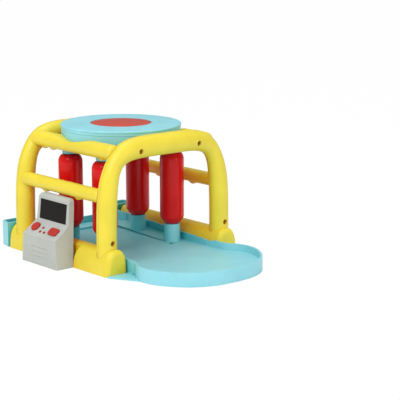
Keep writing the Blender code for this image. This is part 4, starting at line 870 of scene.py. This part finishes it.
def band_top(y):
    """The top of the raised bands round the lane, which rises faster than the bed."""
    return bed_top(y) + BAND_START + BAND_RISE * (y + BAND_FRONT) / (BED_REAR + BAND_FRONT)


def build_band(name, ends, sides, hollow_ends, hollow_sides):
    """A low wedge beside the lane panel, hollow under its edge."""
    band = wedge(name, ends, sides, lambda y: bed_top(y) - LANE_THICKNESS, band_top)
    cut(band, wedge(
        "undercut", hollow_ends, hollow_sides,
        lambda y: bed_top(y) - LANE_THICKNESS - OVERRUN, lambda y: band_top(y) - BAND_LIP,
    ))
    dress(band, "sky_blue_plastic")


def build_bands():
    """A strip behind the lane panel, and a band between the lane and each side wall."""
    wide = BAND_EDGE + OVERRUN
    build_band(
        "cross_band", (CROSS_BAND_Y, BAY_REAR), (-BAND_EDGE, BAND_EDGE),
        (CROSS_BAND_Y - OVERRUN, CROSS_BAND_Y + CROSS_BAND_UNDERCUT), (-wide, wide),
    )
    for hand, sign in HANDS:
        build_band(
            f"{hand}_band", (-BAND_FRONT, BAY_REAR), (sign * BAND_EDGE, sign * (BAY_SIDE - TRAY_WALL / 2)),
            (-BAND_FRONT - OVERRUN, BAY_REAR),
            (sign * (BAND_EDGE - OVERRUN), sign * (BAND_EDGE + BAND_UNDERCUT)),
        )


def on_axes(name, radius, low, high, sides=BORE_SIDES):
    """One upright cylinder on each roller's axis."""
    return [cylinder(name, radius, (x, y, low), (x, y, high), sides) for place, x, y in ROLLER_PLACES]


def build_pillar(name, x, y):
    """A round pillar with a small fillet at its foot, bored for the roller's axle."""
    top = ROLLER_BOTTOM - GAP
    bed = max(band_top(y), bed_top(y) + BAND_START)
    foot = bed - (BAND_LIP if y > 0 else LANE_THICKNESS / 2)
    bore = AXLE_RADIUS + GAP
    rim = PILLAR_RADIUS + PILLAR_FILLET
    profile = [
        (bore, foot), (bore, top), *outer_round(PILLAR_RADIUS, top, PILLAR_EDGE_ROUND, EDGE_STEPS),
        *arc((rim, bed + PILLAR_FILLET), PILLAR_FILLET, 180, 270, SMALL_STEPS), (rim, foot),
    ]
    pillar = turned(f"pillar_{name}", profile, PILLAR_SIDES, ring=True, matrix=Matrix.Translation((x, y, 0)))
    dress(pillar, "sky_blue_plastic")


def apron_flange(sign):
    """The low corner plate between the apron and a beam's toe."""
    corners = [
        (NECK_SIDE - TRAY_WALL / 2, -TOE_FRONT - GAP),
        (APRON_HALF_WIDTH - TRAY_WALL, -CORNER_FLANGE_Y - OVERRUN),
        (CORNER_FLANGE_X, -CORNER_FLANGE_Y), (BEAM_OUTER, -TOE_FRONT - GAP),
    ]
    return extruded("flange", flipped(corners, sign), 0, CORNER_FLANGE_THICKNESS)


def wall_pocket(x, y):
    """The hollow that a side wall has beside a pillar."""
    hand = copysign(1, x)
    start, end = sorted((hand * (WALL_FACE - OVERRUN), hand * (WALL_FACE + POCKET_DEPTH)))
    middle, low = y - POCKET_BACKSET, bed_top(y) + POCKET_LIFT
    half = POCKET_LENGTH / 2
    return box("pocket", (start, middle - half, low), (end, middle + half, low + POCKET_HEIGHT))


def lane_trench(sign):
    """The deep groove at one side of the lane panel."""
    trench = bed_prism("trench", LANE_GROOVE / 2, -OVERRUN, LANE_TRENCH_DEPTH, *LANE_RECESS_ENDS)
    return moved(trench, Matrix.Translation((sign * (LANE_HALF_WIDTH + LANE_GROOVE / 2), 0, 0)))


def build_tray():
    outline = mirrored(tray_half())
    inner = inset(outline, TRAY_WALL)
    high, wide = FLANK_HEIGHT + OVERRUN, BEAM_OUTER + OVERRUN
    tray = extruded("tray_shell", outline, 0, FLANK_HEIGHT)
    bay_front, bay_rear = -TOE_FRONT + TOE_LENGTH / 2, TOE_FRONT - TRAY_WALL
    slope = [
        (bay_front - OVERRUN, side_top(bay_front)), (bay_rear, side_top(bay_rear)),
        (bay_rear, high), (bay_front - OVERRUN, high),
    ]
    under = extruded("under", inner, -OVERRUN, TRAY_FLOOR - TRAY_FLOOR_THICKNESS)
    cut(under, bed_prism("under_bed", wide, 0, BED_THICKNESS, BED_FRONT + WALL, BED_REAR + WALL))
    inside = extruded("inside", inner, TRAY_FLOOR, high + OVERRUN)
    round_edges(inside, FLOOR_FILLET, segments=3, angle=STEEP_EDGE)
    cut(
        tray,
        box("apron_top", (-wide, -APRON_REACH - OVERRUN, TRAY_RIM), (wide, bay_front, high)),
        extruded("bay_top", slope, -wide, wide, YZ_PLANE),
        extruded("dip", rear_dip(), -REAR_END - OVERRUN, -bay_rear + OVERRUN, XZ_PLANE),
        inside, under,
    )
    join(
        tray,
        bed_prism("bed", BAY_SIDE - TRAY_WALL / 2, 0, BED_THICKNESS, BED_FRONT, BAY_REAR),
        bed_prism("neck_bed", NECK_SIDE - TRAY_WALL / 2, 0, BED_THICKNESS, BED_FRONT, BED_REAR),
        *(apron_flange(sign) for hand, sign in HANDS),
    )
    half = LANE_HALF_WIDTH + LANE_GROOVE
    recess = bed_prism("lane_recess", half, -OVERRUN, LANE_THICKNESS, *LANE_RECESS_ENDS)
    pockets = [wall_pocket(x, y) for name, x, y in ROLLER_PLACES]
    cut(tray, recess, *pockets, *(lane_trench(sign) for hand, sign in HANDS))
    round_edges(tray)
    dress(tray, "sky_blue_plastic", "base_tray")


def build_lane():
    """The floor panel, the pillars that stand in its notches, and its screws."""
    ends = (end - GAP for end in LANE_RECESS_ENDS)
    lane = bed_prism("lane_plate", LANE_HALF_WIDTH, 0, LANE_THICKNESS - GAP, *ends)
    for name, x, y in ROLLER_PLACES:
        build_pillar(name, x, y)
    cutters = on_axes("notch", PILLAR_RADIUS + 2 * GAP, 0, ROLLER_BOTTOM)
    for hand, sign in HANDS:
        low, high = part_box(f"lane_screw_{hand}")
        head = Vector(((low.x + high.x) / 2, (low.y + high.y) / 2, high.z))
        bore = LANE_HEAD_RADIUS + HEAD_CLEARANCE
        cutters.append(cylinder("bore", bore, head - UP * HEAD_HEIGHT, head + UP))
        build_screw(f"lane_screw_{hand}", head, UP, LANE_HEAD_RADIUS, look="lane_screw_steel")
    cut(lane, *cutters)
    round_edges(lane, FINE_EDGE_ROUND)
    dress(lane, "sky_blue_plastic", "lane_panel")


# Rails

def half_disc(x, y, z, radius, thickness):
    """The lower half of a disc whose faces look along X."""
    outline = arc((y, z), radius, 180, 360, WAVE_STEPS)
    lug = extruded("lug", outline, x - thickness / 2, x + thickness / 2, YZ_PLANE)
    return round_edges(lug, LUG_EDGE_ROUND, segments=3, angle=STEEP_EDGE)


def rail_bar(name, x, z, radius, half, edge):
    """A round bar along Y with rounded ends."""
    lower = arc((radius - edge, edge - half), edge, 0, -90, ROUND_STEPS)
    profile = [(0, half), *outer_round(radius, half, edge), *lower, (0, -half)]
    return turned(name, profile, RAIL_SIDES, matrix=Matrix.Translation((x, 0, z)) @ Z_TO_Y)


def build_mid_rail(hand, sign, z):
    x = sign * MID_RAIL_X
    bar = f"{hand}_mid_rail_bar"
    rail = rail_bar(bar, x, z, MID_RAIL_RADIUS, MID_RAIL_HALF_LENGTH, MID_RAIL_EDGE_ROUND)
    join(rail, *(half_disc(x, y, z, LUG_RADIUS, LUG_THICKNESS) for y in (-LUG_Y, LUG_Y)))
    cut(rail, *arch_rooms())
    dress(rail, "yellow_plastic", f"{hand}_mid_rail")


def scallop():
    """What is cut from a top rail beside the bowl, in Y and Z: a smooth dip from end to end."""
    above = TOP_RAIL_CREST + OVERRUN
    shares = [step / SCALLOP_STEPS for step in range(-SCALLOP_STEPS, SCALLOP_STEPS + 1)]
    dip = [
        (SCALLOP_HALF_LENGTH * share, TOP_RAIL_CREST - SCALLOP_DEPTH * (1 - ease(share)))
        for share in shares
    ]
    return [*dip, (SCALLOP_HALF_LENGTH, above), (-SCALLOP_HALF_LENGTH, above)]


def build_top_rail(hand, sign):
    x = sign * TOP_RAIL_X
    bar = f"{hand}_top_rail_bar"
    rail = rail_bar(bar, x, TOP_RAIL_Z, TOP_RAIL_RADIUS, TOP_RAIL_HALF_LENGTH, TOP_RAIL_EDGE_ROUND)
    reach = TOP_RAIL_RADIUS + OVERRUN
    cut(rail, extruded("scallop", scallop(), x - reach, x + reach, YZ_PLANE))
    round_edges(rail, SCALLOP_EDGE_ROUND, segments=5, angle=SCALLOP_EDGE_ANGLE)
    join(rail, *(
        half_disc(sign * ROOF_LUG_X, y, ROOF_LUG_Z, ROOF_LUG_RADIUS, ROOF_LUG_THICKNESS)
        for y in (-ROOF_LUG_OUTER_Y, -ROOF_LUG_INNER_Y, ROOF_LUG_INNER_Y, ROOF_LUG_OUTER_Y)
    ))
    room = extruded("gearbox_room", gearbox_outline(GAP), GEARBOX_BOTTOM - OVERRUN, LID_TOP + GAP)
    cut(rail, *arch_rooms(), bowl_room(), room)
    dress(rail, "yellow_plastic", f"{hand}_top_rail")


# Roof

def gearbox_outline(grow):
    """A disc cut off square at its sides, with a lobe round each roller, grown by a distance."""
    side, disc, lobe = (size + grow for size in (GEARBOX_HALF_X, GEARBOX_RADIUS, GEARBOX_LOBE_RADIUS))
    distance = hypot(ROLLER_X, ROLLER_Y)
    towards = atan2(ROLLER_Y, ROLLER_X)
    along = (disc ** 2 - lobe ** 2 + distance ** 2) / (2 * distance)
    meeting = towards + acos(along / disc)
    first = -degrees(acos((side - ROLLER_X) / lobe))
    last = degrees(atan2(
        disc * sin(meeting) - ROLLER_Y, disc * cos(meeting) - ROLLER_X,
    ))
    quarter = arc((ROLLER_X, ROLLER_Y), lobe, first, last, LOBE_STEPS)
    quarter += arc((0, 0), disc, degrees(meeting), 90, SHOULDER_STEPS)[1:]
    return mirrored([*((x, -y) for x, y in reversed(quarter)), *quarter])


def bowl_side(grow, floor):
    """The bowl's side from rim to floor, grown by a distance."""
    swell = BOWL_RADIUS - BOWL_FOOT_RADIUS
    centre = (BOWL_FOOT_RADIUS + grow, BOWL_BEND_Z)
    bend = oval(centre, swell, floor - BOWL_BEND_Z, 0, 90, SHOULDER_STEPS)
    return [(BOWL_RADIUS + grow, BOWL_RIM_Z), *bend]


def bowl_room():
    rim = (BOWL_RADIUS + GAP, BOWL_RIM_Z + OVERRUN)
    return turned("bowl_room", [(0, rim[1]), rim, *bowl_side(GAP, LID_BOTTOM)[1:], (0, LID_BOTTOM)])


def build_bowl():
    profile = [
        *bowl_side(0, LID_BOTTOM), (SPINDLE_TUBE_RADIUS, LID_BOTTOM), (SPINDLE_TUBE_RADIUS, SPINDLE_TUBE_TOP),
        (SPINDLE_TUBE_RADIUS + BOWL_WALL, SPINDLE_TUBE_TOP), (SPINDLE_TUBE_RADIUS + BOWL_WALL, LID_TOP),
        *reversed(bowl_side(-BOWL_WALL, LID_TOP)),
    ]
    bowl = turned("roof_bowl_shell", profile, ring=True)
    plate = extruded("lid_plate", gearbox_outline(0), LID_BOTTOM, LID_TOP)
    join(bowl, cut(plate, cylinder("lid_bore", BOWL_FOOT_RADIUS / 2, UP * LID_BOTTOM - UP, UP)))
    round_edges(bowl, SMALL_EDGE_ROUND, angle=BOWL_EDGE_ANGLE)
    dress(bowl, "sky_blue_plastic", "roof_bowl")


def build_gearbox():
    case = extruded("gearbox_case", gearbox_outline(0), GEARBOX_BOTTOM, GEARBOX_TOP)
    floor = GEARBOX_BOTTOM + GEARBOX_FLOOR_THICKNESS
    join(case, *on_axes("boss", PILLAR_RADIUS, ROLLER_TOP + UPPER_BOSS_GAP, floor - GAP, PILLAR_SIDES))
    bearings = on_axes("bearing", AXLE_RADIUS + GAP, ROLLER_TOP, floor + OVERRUN)
    cut(case, extruded("case_room", gearbox_outline(-GEARBOX_WALL), floor, GEARBOX_TOP + OVERRUN), *bearings)
    round_edges(case)
    dress(case, "sky_blue_plastic", "roof_gearbox")


# Dial and rollers

def build_dial():
    """The turning roof disc, with a thin step under its rim and a raised ring round the inset."""
    ring_in = INSET_RADIUS + GAP
    ring_out = ring_in + INSET_RING_WIDTH
    soft = INSET_RING_HEIGHT / 2
    side = DIAL_RADIUS - DIAL_SIDE_STEP
    step_z = DIAL_TOP - DIAL_RIM_HEIGHT + DIAL_SIDE_STEP
    under = DIAL_TOP - DIAL_PLATE
    recess = INSET_LOW.z - GAP
    profile = [
        (0, recess), (ring_in, recess), (ring_in, DIAL_TOP + soft), (ring_in + soft, DIAL_TOP + 2 * soft),
        (ring_out - soft, DIAL_TOP + 2 * soft), (ring_out, DIAL_TOP + soft), (ring_out, DIAL_TOP),
        *outer_round(DIAL_RADIUS, DIAL_TOP, DIAL_EDGE_ROUND), (DIAL_RADIUS, step_z),
        *arc((side, step_z), DIAL_SIDE_STEP, 0, -90, EDGE_STEPS),
        (side, DIAL_BOTTOM), (DIAL_RADIUS - WALL, DIAL_BOTTOM), (DIAL_RADIUS - WALL, under),
        (SPINDLE_RADIUS, under), (SPINDLE_RADIUS, DIAL_LOW.z), (0, DIAL_LOW.z),
    ]
    dress(turned("dial_disc", profile), "sky_blue_plastic", "dial", body="dial_body")
    disc = [
        (0, INSET_HIGH.z), *outer_round(INSET_RADIUS, INSET_HIGH.z, SMALL_EDGE_ROUND, EDGE_STEPS),
        (INSET_RADIUS, INSET_LOW.z), (0, INSET_LOW.z),
    ]
    dress(turned("inset_disc", disc), "red_plastic", "dial_inset", body="dial_body", look="inset_red")


def build_rollers():
    high = (ROLLER_RADIUS - TOP_SHOULDER_WIDTH, ROLLER_TOP - TOP_SHOULDER_HEIGHT)
    foot = []
    for step in range(SHOULDER_STEPS + 1):
        out, down = full_arc(pi / 2 * step / SHOULDER_STEPS, FOOT_FULLNESS)
        x = ROLLER_RADIUS - FOOT_SHOULDER_WIDTH * (1 - out)
        foot.append((x, ROLLER_BOTTOM + FOOT_SHOULDER_HEIGHT * (1 - down)))
    profile = [
        (0, ROLLER_HIGH.z), (AXLE_RADIUS, ROLLER_HIGH.z), (AXLE_RADIUS, ROLLER_TOP),
        *oval(high, TOP_SHOULDER_WIDTH, TOP_SHOULDER_HEIGHT, 90, 0, SHOULDER_STEPS), *foot,
        (AXLE_RADIUS, ROLLER_BOTTOM), (AXLE_RADIUS, ROLLER_LOW.z), (0, ROLLER_LOW.z),
    ]
    for name, x, y in ROLLER_PLACES:
        piece = turned(f"roller_{name}_drum", profile, ROLLER_SIDES, matrix=Matrix.Translation((x, y, 0)))
        dress(piece, "red_plastic", f"roller_{name}", body=f"roller_{name}_body")


# Console

def console_profile():
    deck_end = CONSOLE_FRONT - (DECK_BACK_Z - DECK_FRONT_Z) / DECK_RISE_SHARE
    return [
        (CONSOLE_BACK_FOOT, 0), (CONSOLE_FRONT, 0), (CONSOLE_FRONT, DECK_FRONT_Z), (deck_end, DECK_BACK_Z),
        (TOWER_FRONT_X, TOWER_FOOT_Z), (TOWER_TOP_X, TOWER_SHOULDER_Z),
        (TOWER_TOP_X - CONSOLE_EDGE_ROUND, CONSOLE_HEIGHT), (CONSOLE_BACK_TOP, CONSOLE_HEIGHT),
    ]


def console_front(margin=0):
    """The console's outline across, in Y and Z, with its draft."""
    run = margin + OVERRUN if margin else 0
    draft = CONSOLE_DECK_HALF_WIDTH - CONSOLE_TOP_HALF_WIDTH
    lean = degrees(atan2(draft, CONSOLE_HEIGHT - DECK_BACK_Z))
    corner = (CONSOLE_TOP_HALF_WIDTH - CONSOLE_TOP_CORNER, CONSOLE_HEIGHT - CONSOLE_TOP_CORNER)
    side = [
        (CONSOLE_HALF_WIDTH, -run), (CONSOLE_DECK_HALF_WIDTH, DECK_BACK_Z),
        *arc(corner, CONSOLE_TOP_CORNER, lean, 90, CONSOLE_TOP_STEPS),
    ]
    return inset(mirrored(side), margin)


def console_block(name, profile, margin=0):
    wide, reach = CONSOLE_HALF_WIDTH + OVERRUN, CONSOLE_FRONT + OVERRUN
    block = extruded(name, flipped(profile, -1), -wide, wide, XZ_PLANE)
    return combine(block, "INTERSECT", [extruded("draft", console_front(margin), -reach, 0, YZ_PLANE)])


def console_back_x(z):
    return CONSOLE_BACK_FOOT - (CONSOLE_BACK_FOOT - CONSOLE_BACK_TOP) * z / CONSOLE_HEIGHT


def deck_frame(x, y):
    """The place on the sloping deck at X outward and Y, with Z along the deck's normal."""
    up_slope = Vector((1, 0, DECK_RISE_SHARE)).normalized()
    across = Vector((0, 1, 0))
    turn = Matrix((up_slope, across, up_slope.cross(across))).transposed().to_4x4()
    return Matrix.Translation((-x, y, DECK_FRONT_Z + DECK_RISE_SHARE * (CONSOLE_FRONT - x))) @ turn


def tower_frame(z):
    """The middle of the tower's face at a height, with X to the viewer's right and Z outward."""
    lean = (TOWER_FRONT_X - TOWER_TOP_X) / (TOWER_SHOULDER_Z - TOWER_FOOT_Z)
    up_face = Vector((lean, 0, 1)).normalized()
    outward = Vector((-1, 0, lean)).normalized()
    turn = Matrix((up_face.cross(outward), up_face, outward)).transposed().to_4x4()
    return Matrix.Translation((-TOWER_FRONT_X + lean * (z - TOWER_FOOT_Z), 0, z)) @ turn


def wide_outline(grow=0):
    return rounded_rectangle(WIDE_BUTTON_HALF_DEPTH + grow, WIDE_BUTTON_HALF_WIDTH + grow, WIDE_BUTTON_CORNER)


def deck_holes():
    """Cutters for the openings of the buttons and the pads."""
    rounds = [(ROUND_BUTTON_RADIUS, ROUND_BUTTON), *((PAD_RADIUS, place) for place in PAD_PLACES.values())]
    holes = [
        moved(cylinder("hole", radius + GAP, -UP * CONSOLE_WALL, UP * OVERRUN), deck_frame(*place))
        for radius, place in rounds
    ]
    wide = extruded("hole", wide_outline(GAP), -CONSOLE_WALL, OVERRUN)
    return [*holes, moved(wide, deck_frame(*WIDE_BUTTON))]


def front_grooves():
    front, half = -CONSOLE_FRONT, GROOVE_HALF_WIDTH
    return [
        box("groove", (front - OVERRUN, -half, z), (front + GROOVE_DEPTH, half, z + GROOVE_WIDTH))
        for z in GROOVE_HEIGHTS
    ]


def back_room():
    """What the shell leaves free inside, open at its foot and its back."""
    high = CONSOLE_HEIGHT - CONSOLE_WALL
    run = CONSOLE_WALL + OVERRUN
    deep = BACK_PLATE_THICKNESS + GAP
    return console_block("back_room", [
        (CONSOLE_BACK_FOOT - run, -OVERRUN), (CONSOLE_BACK_FOOT + deep, -OVERRUN),
        (console_back_x(high) + deep, high), (CONSOLE_BACK_TOP - run, high),
    ], CONSOLE_WALL)


def flatten_faces(obj):
    """Keeps the wide flat faces flat between the rounded edges."""
    normals = obj.modifiers.new("Flat faces", "WEIGHTED_NORMAL")
    normals.keep_sharp = True
    obj.data.shade_smooth()
    obj.data.set_sharp_from_angle(angle=SHARP_ANGLE)
    apply_modifiers(obj)


def screen_outline(grow=0):
    return rounded_rectangle(SCREEN_WIDTH / 2 + grow, SCREEN_HEIGHT / 2 + grow, SCREEN_CORNER, SMALL_STEPS)


def build_console():
    shell = console_block("console_shell", console_profile())
    round_edges(shell, CONSOLE_EDGE_ROUND, SMALL_STEPS, CONSOLE_EDGE_ANGLE)
    screen_room = extruded("screen_room", screen_outline(GAP), -SCREEN_DEPTH - GAP, OVERRUN)
    cut(shell, moved(screen_room, tower_frame(SCREEN_MIDDLE)), *deck_holes(), *front_grooves(), back_room())
    flatten_faces(shell)
    dress(shell, "grey_plastic", "console_housing")


def build_console_back():
    """The plate that closes the back, and the screws at the screen's height."""
    high = CONSOLE_HEIGHT - CONSOLE_WALL - GAP
    side = [
        (CONSOLE_BACK_FOOT, 0), (CONSOLE_BACK_FOOT + BACK_PLATE_THICKNESS, 0),
        (console_back_x(high) + BACK_PLATE_THICKNESS, high), (console_back_x(high), high),
    ]
    plate = console_block("console_back_plate", side, CONSOLE_WALL + GAP)
    round_edges(plate, FINE_EDGE_ROUND)
    dress(plate, "grey_plastic", "console_back")
    x = -console_back_x(SCREEN_MIDDLE) + GAP + HEAD_HEIGHT
    for end, sign in ENDS:
        head = Vector((x, sign * TOWER_SCREW_Y, SCREEN_MIDDLE))
        build_screw(f"console_tower_screw_{end}", head, (1, 0, 0), HEAD_RADIUS)


def build_screen():
    film = extruded("screen_plate", screen_outline(), -SCREEN_DEPTH, -SCREEN_SINK)
    round_edges(film, SCREEN_EDGE_ROUND)
    dress(moved(film, tower_frame(SCREEN_MIDDLE)), "screen_film", "console_screen")


def build_cap(name, radius, rise, edge, place):
    profile = [(0, rise), *outer_round(radius, rise, edge), (radius, -CONSOLE_WALL), (0, -CONSOLE_WALL)]
    cap = turned(f"{name}_cap", profile, BORE_SIDES, matrix=deck_frame(*place))
    dress(cap, "red_plastic", name, body=f"{name}_body", look="button_red")


def build_buttons():
    build_cap("round_button", ROUND_BUTTON_RADIUS, BUTTON_RISE, BUTTON_EDGE_ROUND, ROUND_BUTTON)
    for name, place in PAD_PLACES.items():
        build_cap(name, PAD_RADIUS, PAD_RISE, SMALL_EDGE_ROUND, place)
    wide = extruded("wide_button_cap", wide_outline(), -CONSOLE_WALL, BUTTON_RISE)
    round_edges(wide, BUTTON_EDGE_ROUND, segments=5)
    moved(wide, deck_frame(*WIDE_BUTTON))
    dress(wide, "red_plastic", "wide_button", body="wide_button_body", look="button_red")


def dress_kept_nodes():
    """Materials for the CAD nodes that stay: the gears and the hidden screws."""
    for node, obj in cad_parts.items():
        if not obj.hide_render:
            toothed = "gear" in node or "pinion" in node
            paint(obj, "white_gear_plastic" if toothed else "screw_steel")


# Studio

def build_floor():
    """A matte white floor, which the camera sees as even white."""
    shape = bmesh.new()
    bmesh.ops.create_grid(shape, x_segments=1, y_segments=1, size=FLOOR_HALF_SIZE)
    floor = from_bmesh("floor", shape)
    pale = bpy.data.materials.new("pale_floor")
    pale.use_nodes = True
    tree = pale.node_tree
    tree.nodes.clear()
    seen = add_node(tree, "ShaderNodeLightPath").outputs["Is Camera Ray"]
    share = add_node(tree, "ShaderNodeMath", seen, FLOOR_GLOW_SHARE)
    share.operation = "MULTIPLY"
    matte = add_node(tree, "ShaderNodeBsdfDiffuse", Color=FLOOR_PALE).outputs["BSDF"]
    glow = add_node(tree, "ShaderNodeEmission", Color=WHITE).outputs["Emission"]
    mix = add_node(tree, "ShaderNodeMixShader", share.outputs["Value"], matte, glow)
    add_node(tree, "ShaderNodeOutputMaterial", Surface=mix.outputs["Shader"])
    floor.data.materials.append(pale)


def build_world():
    """A white room, dimmer as a light and dimmer still in gloss than the camera sees it."""
    world = bpy.data.worlds.new("studio")
    world.use_nodes = True
    bpy.context.scene.world = world
    tree = world.node_tree
    rays = add_node(tree, "ShaderNodeLightPath").outputs
    lit = blended(tree, rays["Is Glossy Ray"], WORLD_LIGHT, WORLD_GLOSS)
    seen = add_node(tree, "ShaderNodeMath", rays["Is Camera Ray"], rays["Is Transmission Ray"])
    seen.operation = "MAXIMUM"
    feed(tree, tree.nodes["Background"], Color=WHITE, Strength=blended(tree, seen.outputs["Value"], lit, 1))


def build_lamps():
    for name, place, width, height, power in LAMPS:
        data = bpy.data.lights.new(name, "AREA")
        data.shape = "RECTANGLE"
        data.size = width
        data.size_y = height
        data.energy = power
        lamp = placed(name, data)
        lamp.location = place
        lamp.rotation_euler = (Vector(LAMP_TARGET) - Vector(place)).to_track_quat("-Z", "Y").to_euler()


def build_camera():
    data = bpy.data.cameras.new("camera")
    data.lens = CAMERA_LENS
    data.sensor_width = SENSOR_WIDTH
    camera = placed("camera", data)
    camera.location = CAMERA_PLACE
    camera.rotation_euler = Euler((pi / 2 - CAMERA_PITCH, 0, -CAMERA_YAW), "XYZ")
    bpy.context.scene.camera = camera


build_tray()
build_bands()
build_lane()
for end, side in ENDS:
    build_arch(end, side)
for hand, sign, rail_z in (("left", -1, LEFT_RAIL_Z), ("right", 1, RIGHT_RAIL_Z)):
    build_beam(hand, sign)
    build_mid_rail(hand, sign, rail_z)
    build_top_rail(hand, sign)
build_bowl()
build_gearbox()
build_dial()
build_rollers()
build_console()
build_console_back()
build_screen()
build_buttons()
dress_kept_nodes()
build_floor()
build_world()
build_lamps()
build_camera()
bpy.context.scene.view_settings.view_transform = "Standard"
